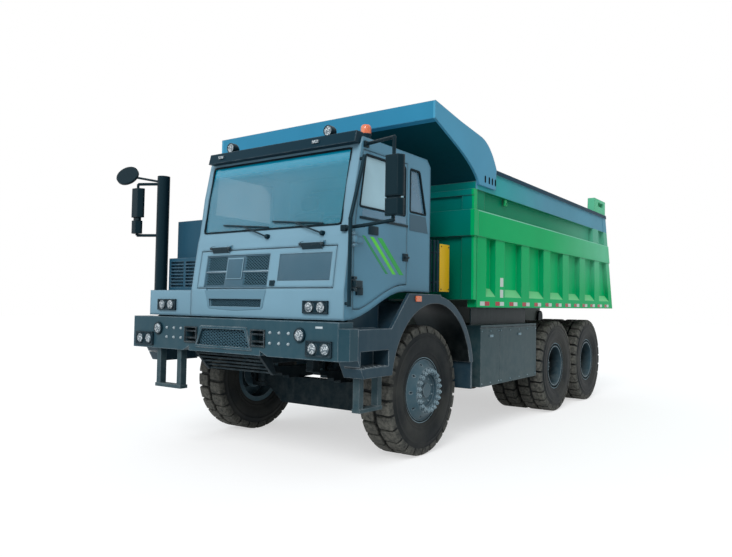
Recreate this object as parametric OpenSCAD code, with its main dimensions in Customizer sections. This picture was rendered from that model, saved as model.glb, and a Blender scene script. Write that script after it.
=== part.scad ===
// Wide-body mining dump truck with an offset cab, three axles and a rear-tipping body.
// Frame: +X forward, +Y to the vehicle's left, +Z up, ground at z = 0, millimetres.

/* [Wheels and axles] */
// Tyre radius out to the lug tips, which is also the height of the wheel centres
tyre_r = 745; // [720:5:760]
// Width of one tyre over its sidewalls
tyre_w = 430; // [400:5:450]
// Radial height of the tread lugs
lug_h = 38; // [25:1:50]
// Tread blocks round one tyre in each of its two rows
lug_count = 24; // [20:1:26]
// Width of one tread block along the circumference
lug_w = 140; // [110:5:150]
// Radius of the rim's bead seat
rim_r = 330; // [310:5:345]
// Radius of the rim's outer flange
flange_r = 388; // [370:2:400]
// Distance of the front axle ahead of the middle of the truck
front_axle_x = 2625; // [2590:5:2660]
// Distance of the middle axle from the middle of the truck
mid_axle_x = -1455; // [-1490:5:-1450]
// Distance of the rear axle from the middle of the truck
rear_axle_x = -3105; // [-3140:5:-3090]
// Sideways place of a front tyre's middle
front_track_y = 1325; // [1310:5:1330]
// Sideways place of an outer rear tyre's middle
dual_outer_y = 1415; // [1405:5:1425]
// Distance between the middles of a pair of rear tyres
dual_pitch = 478; // [470:2:500]
// Sideways place of the kingpins
kingpin_y = 1060; // [1040:5:1070]

/* [Frame] */
// Sideways place of a rail's outer face
rail_y = 480; // [460:5:490]
// Depth of a rail's channel section across the truck
rail_w = 110; // [90:5:120]
// Bottom of the rails
rail_z0 = 1080; // [1060:5:1100]
// Top of the rails
rail_z1 = 1440; // [1430:5:1450]
// Rear end of the rails
rail_x0 = -3760; // [-3800:5:-3700]
// Radius of the body's hinge pin
bed_pin_r = 55; // [45:1:60]

/* [Bumper] */
// Front face of the bumper
nose_x = 4302; // [4280:2:4320]
// Depth of the bumper from front to back
bumper_d = 220; // [200:5:230]
// Half width of the bumper's front face
bumper_half = 1586; // [1560:2:1600]
// Half width over the bumper's chamfered ends and over the fenders
fender_y = 1659; // [1640:1:1680]
// Bottom of the bumper
bumper_z0 = 1180; // [1160:5:1190]
// Top of the bumper
bumper_z1 = 1549; // [1540:1:1555]

/* [Cab] */
// Left side of the cab
cab_y1 = 1523; // [1500:1:1540]
// Right side of the cab
cab_y0 = -740; // [-750:1:-720]
// Back of the cab
cab_x0 = 2544; // [2530:2:2560]
// Front of the cab below the hatch
cab_x1 = 4143; // [4130:1:4160]
// Underside of the cab behind the front arch
cab_z0 = 1873; // [1860:1:1885]
// Top of the roof
roof_z = 3426; // [3400:2:3450]
// Thickness of the cab's walls and doors
cab_wall = 60; // [50:1:70]
// Gap round the door and the hatch
panel_gap = 8; // [6:0.5:10]
// Height of the windscreen's lower edge
screen_z0 = 2519; // [2500:1:2540]
// Height of the windscreen's upper edge
screen_z1 = 3320; // [3300:1:3335]
// Thickness of the panes
glass_t = 10; // [6:1:14]

/* [Body] */
// Half width over the body's ribs
bed_half = 1757; // [1740:1:1775]
// Front face of the body's headboard
bed_x1 = 1750; // [1730:5:1770]
// Lower rear corner of the body
bed_x0 = -4302; // [-4310:2:-4290]
// Lower edge of the body's sides
bed_z0 = 1705; // [1690:5:1720]
// Top of the side rails
bed_z1 = 3529; // [3500:5:3550]
// Height of the body's rear hinge
hinge_z = 1530; // [1520:1:1540]
// Place of the body's rear hinge along the truck
hinge_x = -3520; // [-3540:5:-3500]
// Thickness of the body's side walls with their ribs
bed_wall = 150; // [140:1:160]
// Front edge of the rock canopy
canopy_x1 = 2859; // [2840:1:2880]
// Top of the canopy's front lip
canopy_z1 = 4034; // [4000:2:4060]

/* [Hoist] */
// Place of the hoist's foot along the truck
hoist_x = 2310; // [2300:5:2330]
// Height of the hoist's foot pin
hoist_z = 850; // [840:5:900]
// Height of the hoist's top eye
hoist_top_z = 2700; // [2690:5:2720]
// Outer radius of the hoist's barrel
hoist_r = 140; // [130:1:145]

/* [Fits] */
// Radial running clearance of pins, spindles and sleeves
run_fit = 0.05; // [0.02:0.01:0.09]
// Gap between a tyre and its rim
seat_fit = 0.3; // [0.1:0.1:0.5]
// Clear space between moving pieces
move_gap = 8; // [6:1:12]

/* [Hidden] */
$fn = 48;
over = 20;
weld = 2;
sill_gap = 6;

wheel_names = ["front_left", "front_right", "mid_left", "mid_right", "rear_left", "rear_right"];

slate = [0.36, 0.45, 0.52];
dark_slate = [0.17, 0.22, 0.26];
near_black = [0.07, 0.08, 0.09];
body_green = [0.05, 0.50, 0.28];
steel_blue = [0.20, 0.34, 0.42];
rubber = [0.10, 0.09, 0.085];
glass_tint = [0.45, 0.62, 0.68, 0.5];
white_lens = [0.9, 0.9, 0.85];

// Box between two corners
module slab(x0, x1, y0, y1, z0, z1) {
    translate([x0, y0, z0]) cube([x1 - x0, y1 - y0, z1 - z0]);
}

// Outline in x and z, as deep as from y0 to y1
module side_plate(points, y0, y1) {
    translate([0, y1, 0]) rotate([90, 0, 0]) linear_extrude(y1 - y0) polygon(points);
}

// Outline in y and z, as deep as from x0 to x1
module front_plate(points, x0, x1) {
    translate([x0, 0, 0]) rotate([90, 0, 90]) linear_extrude(x1 - x0) polygon(points);
}

// Round bar across the truck
module cross_bar(r, x, z, y0, y1) {
    translate([x, y1, z]) rotate([90, 0, 0]) cylinder(r = r, h = y1 - y0);
}

// Round bar between two points
module rod(a, b, r) {
    v = b - a;
    translate(a) rotate([0, acos(v[2] / norm(v)), atan2(v[1], v[0])]) cylinder(r = r, h = norm(v));
}

// Bent tube through a row of points, with a weld bead at each bend
module bent_tube(points, r) {
    for (i = [0 : len(points) - 2]) rod(points[i], points[i + 1], r);
    for (i = [1 : len(points) - 2]) translate(points[i]) sphere(r = r + weld);
}

module both_sides() {
    children();
    mirror([0, 1, 0]) children();
}

// Wheels

lug_root_r = tyre_r - lug_h;
tread_half = 0.44 * tyre_w;
lug_half = tread_half + 6;
lug_base_r = 0.87 * tyre_r;
lug_top_r = sqrt(tyre_r * tyre_r - lug_w * lug_w / 4);
lug_turn = asin(lug_w / 2 / tyre_r);
row_gap = 24;
lip_half = 0.36 * tyre_w;
bead_half = lip_half - seat_fit;

// Carcass turned from its section, with two rows of blocks half a pitch apart
module tyre_solid() {
    color(rubber) {
        rotate_extrude()
            polygon([
                [rim_r + seat_fit, -bead_half], [flange_r + 10, -bead_half],
                [0.72 * tyre_r, -tyre_w / 2], [lug_root_r, -tread_half],
                [lug_root_r, tread_half], [0.72 * tyre_r, tyre_w / 2],
                [flange_r + 10, bead_half], [rim_r + seat_fit, bead_half]]);
        for (row = [0, 1], i = [0 : lug_count - 1])
            rotate([0, 0, (i + row / 2) * 360 / lug_count + lug_turn])
                translate([-lug_w / 2, -lug_top_r, row == 0 ? row_gap / 2 : -lug_half])
                    cube([lug_w, lug_top_r - lug_base_r, lug_half - row_gap / 2]);
    }
}

spindle_r = 70;
spindle_end = 120;
hub_r = 190;
rim_wall = 16;

// Barrel of one rim, seen in section from its axis
module rim_barrel() {
    rotate_extrude()
        polygon([
            [rim_r - rim_wall, -lip_half - rim_wall], [flange_r, -lip_half - rim_wall],
            [flange_r, -lip_half], [rim_r, -lip_half], [rim_r, lip_half], [flange_r, lip_half],
            [flange_r, lip_half + rim_wall], [rim_r - rim_wall, lip_half + rim_wall]]);
}

// Axis along z, outer side up
module front_rim_solid() {
    disc_z = 30;
    dome_z0 = lip_half + rim_wall - weld;
    dome_z1 = dome_z0 + 84;
    dome_r = flange_r - 36;
    nut_face_r = 262;
    pocket_r = hub_r - 4;
    pocket_d = 42;
    cap_h = 20;
    cap_r = 80;
    hub_z0 = -80;
    vent_r = 14;
    vent_count = 10;
    vent_ring_r = (dome_r + nut_face_r) / 2;
    bore_z1 = spindle_end + 7 * move_gap;
    color(steel_blue) difference() {
        union() {
            rim_barrel();
            translate([0, 0, disc_z]) cylinder(r = rim_r - 1, h = dome_z0 + weld - disc_z);
            translate([0, 0, dome_z0]) cylinder(r1 = dome_r, r2 = nut_face_r, h = dome_z1 - dome_z0);
            translate([0, 0, hub_z0]) cylinder(r = hub_r, h = dome_z1 - hub_z0);
        }
        translate([0, 0, dome_z1 - pocket_d])
            difference() {
                cylinder(r = pocket_r, h = pocket_d + over);
                translate([0, 0, -over]) cylinder(r = cap_r, h = cap_h + over);
            }
        translate([0, 0, hub_z0 - over]) cylinder(r = spindle_r + run_fit, h = bore_z1 - hub_z0 + over);
        for (i = [0 : vent_count - 1]) rotate([0, 0, i * 360 / vent_count])
            translate([vent_ring_r, 0, disc_z - over]) cylinder(r = vent_r, h = dome_z1 - disc_z + 2 * over);
    }
}

module dual_rims_solid() {
    disc_t = 40;
    hub_top = 60;
    cap_r = 120;
    color(steel_blue) difference() {
        union() {
            rim_barrel();
            translate([0, 0, -dual_pitch]) rim_barrel();
            translate([0, 0, -dual_pitch / 2 - disc_t / 2]) cylinder(r = rim_r - 1, h = disc_t);
            translate([0, 0, -dual_pitch / 2 - 150]) cylinder(r = hub_r, h = 150 + hub_top);
            translate([0, 0, -dual_pitch / 2]) cylinder(r = cap_r, h = dual_pitch / 2 + 30);
            translate([0, 0, -dual_pitch + bead_half])
                cylinder(r = rim_r - 1, h = dual_pitch - 2 * bead_half);
        }
        translate([0, 0, -dual_pitch / 2 + disc_t / 2])
            difference() {
                cylinder(r = rim_r - rim_wall, h = dual_pitch);
                cylinder(r = hub_r, h = dual_pitch);
            }
        translate([0, 0, -dual_pitch * 1.5 - disc_t / 2])
            difference() {
                cylinder(r = rim_r - rim_wall, h = dual_pitch);
                translate([0, 0, dual_pitch - 150 + disc_t / 2]) cylinder(r = hub_r, h = 150);
            }
        translate([0, 0, -dual_pitch - over]) cylinder(r = spindle_r + run_fit, h = dual_pitch + over);
    }
}

function wheel_x(i) = [front_axle_x, mid_axle_x, rear_axle_x][floor(i / 2)];
function wheel_y(i) = i < 2 ? front_track_y : dual_outer_y;
function wheel_side(i) = i % 2 == 0 ? 1 : -1;

module at_wheel(i) {
    translate([wheel_x(i), wheel_side(i) * wheel_y(i), tyre_r])
        rotate([-90 * wheel_side(i), 0, 0]) rotate([0, 0, wheel_side(i) > 0 ? 180 : 0]) children();
}

module wheel_tyre(i) {
    at_wheel(i) {
        tyre_solid();
        if (i > 1) translate([0, 0, -dual_pitch]) tyre_solid();
    }
}

module wheel_rim(i) {
    at_wheel(i) {
        if (i < 2) front_rim_solid();
        else dual_rims_solid();
    }
}

// Front axle and steering

kingpin_r = 40;
eye_r = 85;
eye_h = 180;

axle_beam_h = 350;
axle_beam_t = 120;
axle_beam_drop = 160;
axle_beam_out = 180;

// Dropped beam: outline of its right half, from the middle to the eye
function axle_half() = let (neck_y = kingpin_y - eye_r - move_gap, drop_y = rail_y + axle_beam_out) [
    [drop_y, -axle_beam_drop - axle_beam_h / 2], [neck_y, -eye_h / 2], [kingpin_y, -eye_h / 2],
    [kingpin_y, eye_h / 2], [neck_y, eye_h / 2], [drop_y, -axle_beam_drop + axle_beam_h / 2]];

module front_axle() {
    color(near_black) difference() {
        union() {
            translate([0, 0, tyre_r]) front_plate(concat(
                axle_half(), [for (i = [5 : -1 : 0]) [-axle_half()[i][0], axle_half()[i][1]]]),
                front_axle_x - axle_beam_t / 2, front_axle_x + axle_beam_t / 2);
            both_sides() translate([front_axle_x, kingpin_y, tyre_r - eye_h / 2])
                cylinder(r = eye_r, h = eye_h);
        }
        both_sides() translate([front_axle_x, kingpin_y, tyre_r - eye_h])
            cylinder(r = kingpin_r + run_fit, h = 2 * eye_h);
    }
}

// Fork round the axle's eye, with its kingpin and the wheel's spindle
module knuckle(side) {
    fork_t = 50;
    fork_z = eye_h / 2 + move_gap;
    back_y = eye_r + move_gap;
    color(near_black) translate([front_axle_x, 0, tyre_r]) mirror([0, side > 0 ? 0 : 1, 0]) {
        translate([0, kingpin_y, 0]) {
            translate([0, 0, -fork_z - fork_t]) cylinder(r = kingpin_r, h = 2 * (fork_z + fork_t));
            for (z = [-fork_z - fork_t, fork_z]) translate([0, 0, z]) {
                cylinder(r = eye_r, h = fork_t);
                translate([-eye_r, 0, 0]) cube([2 * eye_r, back_y + 40, fork_t]);
            }
            slab(-eye_r, eye_r, back_y, back_y + 40, -fork_z - fork_t, fork_z + fork_t);
        }
        cross_bar(spindle_r, 0, 0, kingpin_y + back_y + 20, front_track_y + spindle_end);
    }
}

// Drive axles, springs and driveline

axle_tube_r = 130;
diff_r = 290;

module drive_axles() {
    color(near_black) for (x = [mid_axle_x, rear_axle_x]) {
        inner_y = dual_outer_y - dual_pitch / 2 - 170;
        cross_bar(axle_tube_r, x, tyre_r, -inner_y, inner_y);
        cross_bar(spindle_r, x, tyre_r, -dual_outer_y + 10, dual_outer_y - 10);
        cross_bar(diff_r, x, tyre_r, -180, 180);
        translate([x, 0, tyre_r]) rotate([0, 90, 0]) cylinder(r = 120, h = diff_r + 60);
    }
}

spring_w = 100;
spring_y = rail_y - rail_w / 2;
leaf_t = 30;
leaf_count = 5;
leaf_cut = 130;
leaf_over = 60;
leaf_steps = 8;
front_leaf_half = 760;
front_camber = 60;
bogie_camber = 36;
hanger_x = 700;
hanger_half = 50;

// Leaf packs: two at the front axle and two over the bogie
// Leaf drawn as a row of points at its lower face, and back along its upper face
function leaf_points(x, half, z, t, camber, span) = concat(
    [for (k = [-leaf_steps : leaf_steps])
        let (d = half * k / leaf_steps) [x + d, z + leaf_rise(d, camber, span)]],
    [for (k = [leaf_steps : -1 : -leaf_steps])
        let (d = half * k / leaf_steps) [x + d, z + t + leaf_rise(d, camber, span)]]);
function leaf_rise(d, camber, span) = camber * pow(min(1, abs(d) / span), 2);

// Leaf packs: two at the front axle, bent up, and two over the bogie, bent down
module springs() {
    bogie_x = (mid_axle_x + rear_axle_x) / 2;
    bogie_reach = (mid_axle_x - rear_axle_x) / 2;
    front_seat = tyre_r - axle_beam_drop + axle_beam_h / 2;
    bogie_seat = tyre_r + axle_tube_r + seat_fit;
    y0 = spring_y - spring_w / 2;
    y1 = spring_y + spring_w / 2;
    top = front_seat + (leaf_count - 1) * leaf_t;
    color(near_black) both_sides() {
        for (i = [0 : leaf_count - 1])
            side_plate(leaf_points(front_axle_x, front_leaf_half - leaf_cut * i, top - leaf_t * i,
                                   leaf_t + (i > 0 ? weld : 0), front_camber, front_leaf_half), y0, y1);
        for (s = [-1, 1])
            slab(front_axle_x + s * hanger_x - hanger_half, front_axle_x + s * hanger_x + hanger_half, y0, y1,
                 top + front_camber * 0.9, rail_z0);
        for (i = [0 : leaf_count - 1])
            side_plate(leaf_points(bogie_x, bogie_reach + leaf_over - leaf_cut * i,
                                   bogie_seat + bogie_camber + leaf_t * i, leaf_t + weld,
                                   -bogie_camber, bogie_reach - leaf_over), y0, y1);
        slab(bogie_x - leaf_cut, bogie_x + leaf_cut, y0, y1,
             bogie_seat + bogie_camber + (leaf_count - 1) * leaf_t, rail_z0);
    }
}

motor_x0 = 300;
motor_x1 = 1300;
motor_z = 1060;
motor_down = 260;
motor_up = 300;

module driveline() {
    shaft_r = 55;
    color(near_black) {
        slab(motor_x0, motor_x1, -rail_y + rail_w + seat_fit, rail_y - rail_w - seat_fit,
             motor_z - motor_down, motor_z + motor_up);
        rod([motor_x0, 0, motor_z - 100], [mid_axle_x + diff_r + 70, 0, tyre_r], shaft_r);
        rod([mid_axle_x - diff_r - seat_fit, 0, tyre_r], [rear_axle_x + diff_r + 60, 0, tyre_r], shaft_r);
    }
}

// Ladder frame

ear_t = 40;
ear_r = 110;
rail_web = 16;

module rail() {
    difference() {
        slab(rail_x0, nose_x - bumper_d, rail_y - rail_w, rail_y, rail_z0, rail_z1);
        slab(rail_x0 - over, nose_x, rail_y - rail_w - over, rail_y - rail_web,
             rail_z0 + rail_web, rail_z1 - rail_web);
    }
}

module frame() {
    cross_r = 70;
    color(near_black) {
        both_sides() rail();
        for (x = [-3650, -2280, -400, 3300, 3950])
            cross_bar(cross_r, x, (rail_z0 + rail_z1) / 2, -rail_y + rail_web / 2, rail_y - rail_web / 2);
        both_sides() for (y = [rail_y - rail_w - ear_t - move_gap, rail_y + move_gap]) {
            cross_bar(ear_r, hinge_x, hinge_z, y, y + ear_t);
            slab(hinge_x - ear_r, hinge_x + ear_r, y, y + ear_t, rail_z0 + 100, hinge_z);
        }
        both_sides() slab(hinge_x - ear_r, hinge_x + ear_r, rail_y - 5, rail_y + move_gap + ear_t,
                          rail_z0 + 100, rail_z0 + 200);
        both_sides() slab(hinge_x - ear_r, hinge_x + ear_r, rail_y - rail_w - ear_t - move_gap,
                          rail_y - rail_web / 2, rail_z0 + 100, rail_z0 + 200);
        both_sides() cross_bar(bed_pin_r, hinge_x, hinge_z, rail_y - rail_w - ear_t - move_gap,
                               rail_y + move_gap + ear_t);
        hoist_foot();
    }
}

foot_pin_r = 45;

// Cross beam with two ears and a pin that carries the hoist
module hoist_foot() {
    ear_y = hoist_r + move_gap;
    for (x = [hoist_x - 590, hoist_x + 230])
        slab(x, x + 100, -rail_y + rail_web / 2, rail_y - rail_web / 2, rail_z0 + 20, rail_z0 + 160);
    both_sides() {
        slab(hoist_x - 590, hoist_x + 330, ear_y, ear_y + ear_t, rail_z0 + 20, rail_z0 + 160);
        slab(hoist_x - ear_r, hoist_x + ear_r, ear_y, ear_y + ear_t, hoist_z, rail_z0 + 100);
        cross_bar(ear_r, hoist_x, hoist_z, ear_y, ear_y + ear_t);
    }
    cross_bar(foot_pin_r, hoist_x, hoist_z, -ear_y - ear_t, ear_y + ear_t);
}

// Hoist: a barrel on the foot pin and three sleeves that slide out of it

sleeve_step = 26;
sleeve_wall = sleeve_step - run_fit;
barrel_top = hoist_top_z - 150;

module sleeve(i) {
    r_out = hoist_r - i * sleeve_step - (i > 0 ? run_fit : 0);
    r_in = hoist_r - (i + 1) * sleeve_step;
    z0 = hoist_z + 110 + 12 * i;
    z1 = barrel_top + 12 * i;
    difference() {
        translate([hoist_x, 0, z0]) cylinder(r = r_out, h = z1 - z0);
        if (i < 3) translate([hoist_x, 0, z0 + 10]) cylinder(r = r_in, h = z1);
    }
}

module hoist_barrel() {
    color(dark_slate) difference() {
        union() {
            sleeve(0);
            cross_bar(100, hoist_x, hoist_z, -hoist_r + 20, hoist_r - 20);
            translate([hoist_x, 0, hoist_z]) cylinder(r = 95, h = 115);
        }
        cross_bar(foot_pin_r + run_fit, hoist_x, hoist_z, -hoist_r - over, hoist_r + over);
    }
}

eye_half = 65;

module hoist_stage(i) {
    color("silver") {
        sleeve(i);
        if (i == 3) {
            translate([hoist_x, 0, barrel_top + 30]) cylinder(r = 45, h = hoist_top_z - barrel_top - 60);
            cross_bar(70, hoist_x, hoist_top_z, -eye_half, eye_half);
        }
    }
}

// Bumper with its tow pockets and the skid plate below it

tow_y = 527;
tow_z = 1360;
tow_w = 184;
tow_h = 152;
tow_pin_r = 32;

grille_z0 = 1256;
grille_z1 = 1436;
grille_low = 413;
grille_top = 332;
grille_rim = 28;
function grille_outline(rim) = [
    [-grille_low - rim, grille_z0 - rim], [grille_low + rim, grille_z0 - rim],
    [grille_top + rim, grille_z1 + rim], [-grille_top - rim, grille_z1 + rim]];

// Mesh strip and its surround below the hatch
strip_outline = [[-415, 1681], [385, 1681], [400, 1760], [-430, 1760]];
strip_depth = 70;

function bumper_plan(inset) = [
    [nose_x - bumper_d, -fender_y + inset], [nose_x - 90, -fender_y + inset],
    [nose_x - inset, -bumper_half], [nose_x - inset, bumper_half],
    [nose_x - 90, fender_y - inset], [nose_x - bumper_d, fender_y - inset]];

module bumper() {
    grille_depth = 60;
    tow_depth = 120;
    end_step = 60;
    end_step_y = 1592;
    underside_y = 560;
    color(dark_slate) {
        difference() {
            translate([0, 0, bumper_z0]) linear_extrude(bumper_z1 - bumper_z0) polygon(bumper_plan(0));
            front_plate(grille_outline(0), nose_x - grille_depth, nose_x + over);
            both_sides() {
                slab(nose_x - tow_depth, nose_x + over, tow_y - tow_w / 2, tow_y + tow_w / 2,
                     tow_z - tow_h / 2, tow_z + tow_h / 2);
                translate([nose_x - tow_depth / 2, tow_y, bumper_z0 - over])
                    cylinder(r = tow_pin_r, h = bumper_z1 - bumper_z0 + 2 * over);
                front_plate([[underside_y, bumper_z0 - over], [underside_y, bumper_z0 + 50],
                             [underside_y + 140, bumper_z0 - over]], nose_x - bumper_d - over, nose_x + over);
                slab(nose_x - bumper_d - over, nose_x + over, end_step_y, fender_y + over,
                     bumper_z1 - end_step, bumper_z1 + over);
            }
        }
        difference() {
            front_plate(grille_outline(grille_rim), nose_x - 10, nose_x + 14);
            front_plate(grille_outline(0), nose_x - 2 * over, nose_x + 2 * over);
        }
    }
}

// Back plate with upright and level bars, cut to an outline
module lattice(outline, x, back_t, bar_t, pitch, bar_w) {
    half = 480;
    z_low = 1200;
    z_high = 1800;
    front_plate(outline, x - bar_t - back_t, x - bar_t);
    intersection() {
        front_plate(outline, x - bar_t - weld, x);
        union() {
            for (y = [-half : pitch : half]) slab(x - bar_t - over, x + over, y, y + bar_w, z_low, z_high);
            for (z = [z_low : pitch : z_high]) slab(x - bar_t - over, x + over, -half, half, z, z + bar_w);
        }
    }
}

module front_grilles() {
    color(near_black) {
        lattice(grille_outline(0), nose_x - 16, 20, 24, 48, 14);
        lattice(strip_outline, cab_x1 - 20, 20, 30, 40, 12);
    }
}

module skid_plate() {
    slat_count = 5;
    slat_w = 60;
    slat_t = 20;
    slat_pitch_x = 50;
    slat_pitch_z = 44;
    color(near_black) {
        both_sides() side_plate([[nose_x - 40, bumper_z0], [nose_x - 210, bumper_z0], [4010, 960],
                                 [4060, 960]], rail_y + sill_gap, rail_y + sill_gap + 30);
        for (i = [0 : slat_count - 1]) {
            x = nose_x - slat_w - i * slat_pitch_x;
            z = bumper_z0 - 14 - i * slat_pitch_z;
            slab(x - slat_w, x, -rail_y - sill_gap, rail_y + sill_gap, z - slat_t, z);
        }
    }
}

// Fenders: an arch band over the tyre, a front panel with a foot pocket and a bracket to the rail

arch_room = 128;
arch_r = tyre_r + arch_room;
arch_z = 872;
arch_to_cab = 38;
arch_lip = cab_z0 - arch_z - arch_r - arch_to_cab;
band_t = 28;
band_y = 1010;
ledge_z = 1480;
panel_z0 = 997;

module arch_ring(r0, r1, y0, y1) {
    intersection() {
        difference() {
            cross_bar(r1, front_axle_x, arch_z, y0, y1);
            cross_bar(r0, front_axle_x, arch_z, y0 - over, y1 + over);
        }
        slab(front_axle_x - 2 * r1, front_axle_x + 2 * r1, y0 - over, y1 + over,
             panel_z0 + 20, arch_z + 2 * r1);
    }
}

module fender() {
    pocket_x0 = 3560;
    pocket_x1 = 4040;
    pocket_z0 = 1098;
    pocket_z1 = 1263;
    pocket_d = 200;
    box_d = 250;
    lip_t = 40;
    toe_x = 3980;
    strip_x = 3528;
    panel_x1 = nose_x - bumper_d;
    top_z = cab_z0 - 23;
    flap_x = front_axle_x - 925;
    flap_t = 26;
    flap_z0 = 680;
    lining_x0 = 3450;
    difference() {
        union() {
            arch_ring(arch_r, arch_r + band_t, band_y, fender_y);
            arch_ring(arch_r, arch_r + arch_lip, fender_y - lip_t, fender_y);
            side_plate([[toe_x - 530, panel_z0], [toe_x, panel_z0], [panel_x1, bumper_z0],
                        [panel_x1, ledge_z], [strip_x, ledge_z], [strip_x - 330, ledge_z - 60]],
                       fender_y - box_d, fender_y);
            side_plate([[strip_x, ledge_z - over], [front_axle_x + 550, top_z], [front_axle_x - 125, top_z],
                        [front_axle_x - 125, arch_z + arch_r - over], [strip_x - 330, ledge_z - 60]],
                       fender_y - lip_t, fender_y);
            side_plate([[flap_x, flap_z0], [flap_x + flap_t, flap_z0], [flap_x + flap_t, panel_z0 + 30],
                        [flap_x + 70, panel_z0 + 40], [flap_x + 70, panel_z0 + 120], [flap_x, panel_z0 + 60]],
                       band_y + 60, fender_y);
        }
        cross_bar(arch_r, front_axle_x, arch_z, band_y - over, fender_y + over);
        slab(pocket_x0, pocket_x1, fender_y - pocket_d, fender_y + over, pocket_z0, pocket_z1);
    }
    side_plate(concat([[lining_x0, ledge_z - 30], [panel_x1, ledge_z - 30]],
                      lower_curve(panel_x1, lining_x0, -2 * sill_gap)),
               fender_y - box_d, fender_y - box_d + 30);
    slab(front_axle_x - 60, front_axle_x + 60, rail_y, band_y + 40, arch_z + arch_r + band_t - 30,
         arch_z + arch_r + band_t + 20);
    slab(front_axle_x - 60, front_axle_x + 60, rail_y, rail_y + 30, rail_z0 + 150,
         arch_z + arch_r + band_t + 20);
}

module fenders() {
    $fn = 128;
    color(dark_slate) both_sides() fender();
}

// Cab shell

curve_x0 = 3064;
cab_toe_z = 1563;
curve_steps = 8;
function lower_edge(x) =
    let (t = min(1, max(0, (cab_x1 - x) / (cab_x1 - curve_x0))))
    cab_toe_z + (cab_z0 - cab_toe_z) * (1 - cos(180 * t)) / 2;
function lower_curve(xa, xb, lift) = [
    for (i = [0 : curve_steps]) let (x = xa + (xb - xa) * i / curve_steps) [x, lower_edge(x) + lift]];

// Front of the cab at a height, from the bumper up to the roof
front_line = [[1563, 0], [1862, 0], [2097, -33], [2417, -81], [2519, -106], [2935, -159], [3346, -243],
              [3426, -273]];
function front_x(z) = cab_x1 + lookup(z, front_line);

module cab_body() {
    side_plate(concat(
        [[cab_x0, cab_z0], [cab_x0, roof_z - 80], [cab_x0 + 80, roof_z], [front_x(roof_z), roof_z]],
        [for (z = [3346, 2935, 2519, 2417, 2097, 1862]) [front_x(z), z]],
        lower_curve(cab_x1, curve_x0, 0)), cab_y0, cab_y1);
}

cab_floor_z = 1960;
firewall_back = 263;
firewall_x = cab_x1 - firewall_back;

module cab_hollow() {
    side_plate([
        [cab_x0 + cab_wall, cab_floor_z], [cab_x0 + cab_wall, roof_z - cab_wall],
        [front_x(3346) - cab_wall - 20, roof_z - cab_wall], [front_x(2935) - cab_wall, 2935],
        [front_x(screen_z0) - cab_wall, screen_z0], [firewall_x, screen_z0 - 40], [firewall_x, cab_floor_z]],
        cab_y0 + cab_wall, cab_y1 - cab_wall);
}

door_x0 = 3035;
door_front_max = 4010;
door_top = 3300;
door_lift = 70;
door_toe = 120;
pillar_w = 50;
function door_front(z) = min(front_x(z) - pillar_w, door_front_max);

// Outline of the door, drawn in by a gap
function door_outline(gap) = concat(
    [[door_x0 + gap, lower_edge(door_x0) + door_lift + gap], [door_x0 + gap, door_top - gap],
     [door_front(door_top) - gap, door_top - gap], [door_front(2935) - gap, 2935],
     [door_front(screen_z0) - gap, screen_z0], [door_front(2417) - gap, 2417]],
    [[door_front_max - gap, lower_edge(door_front_max - door_toe) + door_lift + gap]],
    lower_curve(door_front_max - door_toe, door_x0 + gap + 20, door_lift + gap));

// Window in the door, between its sill and its head
door_frame_w = 45;
door_sill_z = 2708;
door_head_z = 3255;
function door_window() = [
    [door_x0 + door_frame_w, door_sill_z], [door_x0 + door_frame_w, door_head_z],
    [door_front(door_head_z) - door_frame_w, door_head_z],
    [door_front(door_sill_z) - door_frame_w, door_sill_z]];

side_sill_z = 2767;
side_head_z = 3255;
quarter_window = [
    [door_x0 - pillar_w, side_sill_z], [door_x0 - pillar_w, side_head_z],
    [cab_x0 + 239, side_head_z], [cab_x0 + 96, side_sill_z]];
right_window = [
    [cab_x0 + 356, side_sill_z], [cab_x0 + 356, side_head_z],
    [door_front(side_head_z) - door_frame_w, side_head_z],
    [door_front(side_sill_z) - 2 * door_frame_w, side_sill_z]];
rear_window = [
    [cab_y0 + 440, side_sill_z], [cab_y1 - 443, side_sill_z], [cab_y1 - 443, side_head_z - 55],
    [cab_y0 + 440, side_head_z - 55]];
screen_back = front_x(screen_z1) - 105;
screen_outline = [[cab_y0 + 70, screen_z0], [cab_y1 - 130, screen_z0], [cab_y1 - 110, screen_z1],
                  [cab_y0 + 75, screen_z1]];

hatch_y0 = -644;
hatch_y1 = 1383;
hatch_z0 = 1879;
hatch_z1 = 2312;
hatch_t = 50;
fold_z = 2097;
surround_depth = 18;
surround_outline = [
    [-445, 1668], [-200, 1650], [170, 1650], [415, 1668], [469, hatch_z0 + 10], [-487, hatch_z0 + 10]];

// Pocket in the cab's sloping front, cut square to a depth
module face_pocket(y0, y1, z0, z1, d) {
    zs = z0 < fold_z && z1 > fold_z ? [z0, fold_z, z1] : [z0, z1];
    side_plate(concat([for (z = zs) [front_x(z) - d, z]],
                      [for (i = [len(zs) - 1 : -1 : 0]) [front_x(zs[i]) + over, zs[i]]]), y0, y1);
}

// Lid shape between the hatch's edges, as thick as its frame
module hatch_band(gap, t) {
    side_plate([
        [front_x(hatch_z0 + gap), hatch_z0 + gap], [front_x(fold_z), fold_z],
        [front_x(hatch_z1 - gap), hatch_z1 - gap],
        [front_x(hatch_z1 - gap) - t, hatch_z1 - gap], [front_x(fold_z) - t, fold_z],
        [front_x(hatch_z0 + gap) - t, hatch_z0 + gap]], hatch_y0 + gap, hatch_y1 - gap);
}

hinge_pin_r = 14;
knuckle_r = 26;
strap_h = 70;
hinge_ear_half = 20;
door_hinge_x = door_front_max + hinge_ear_half;
door_hinge_y = cab_y1 + knuckle_r + panel_gap;
door_hinge_zs = [1890, 2330];

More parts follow.
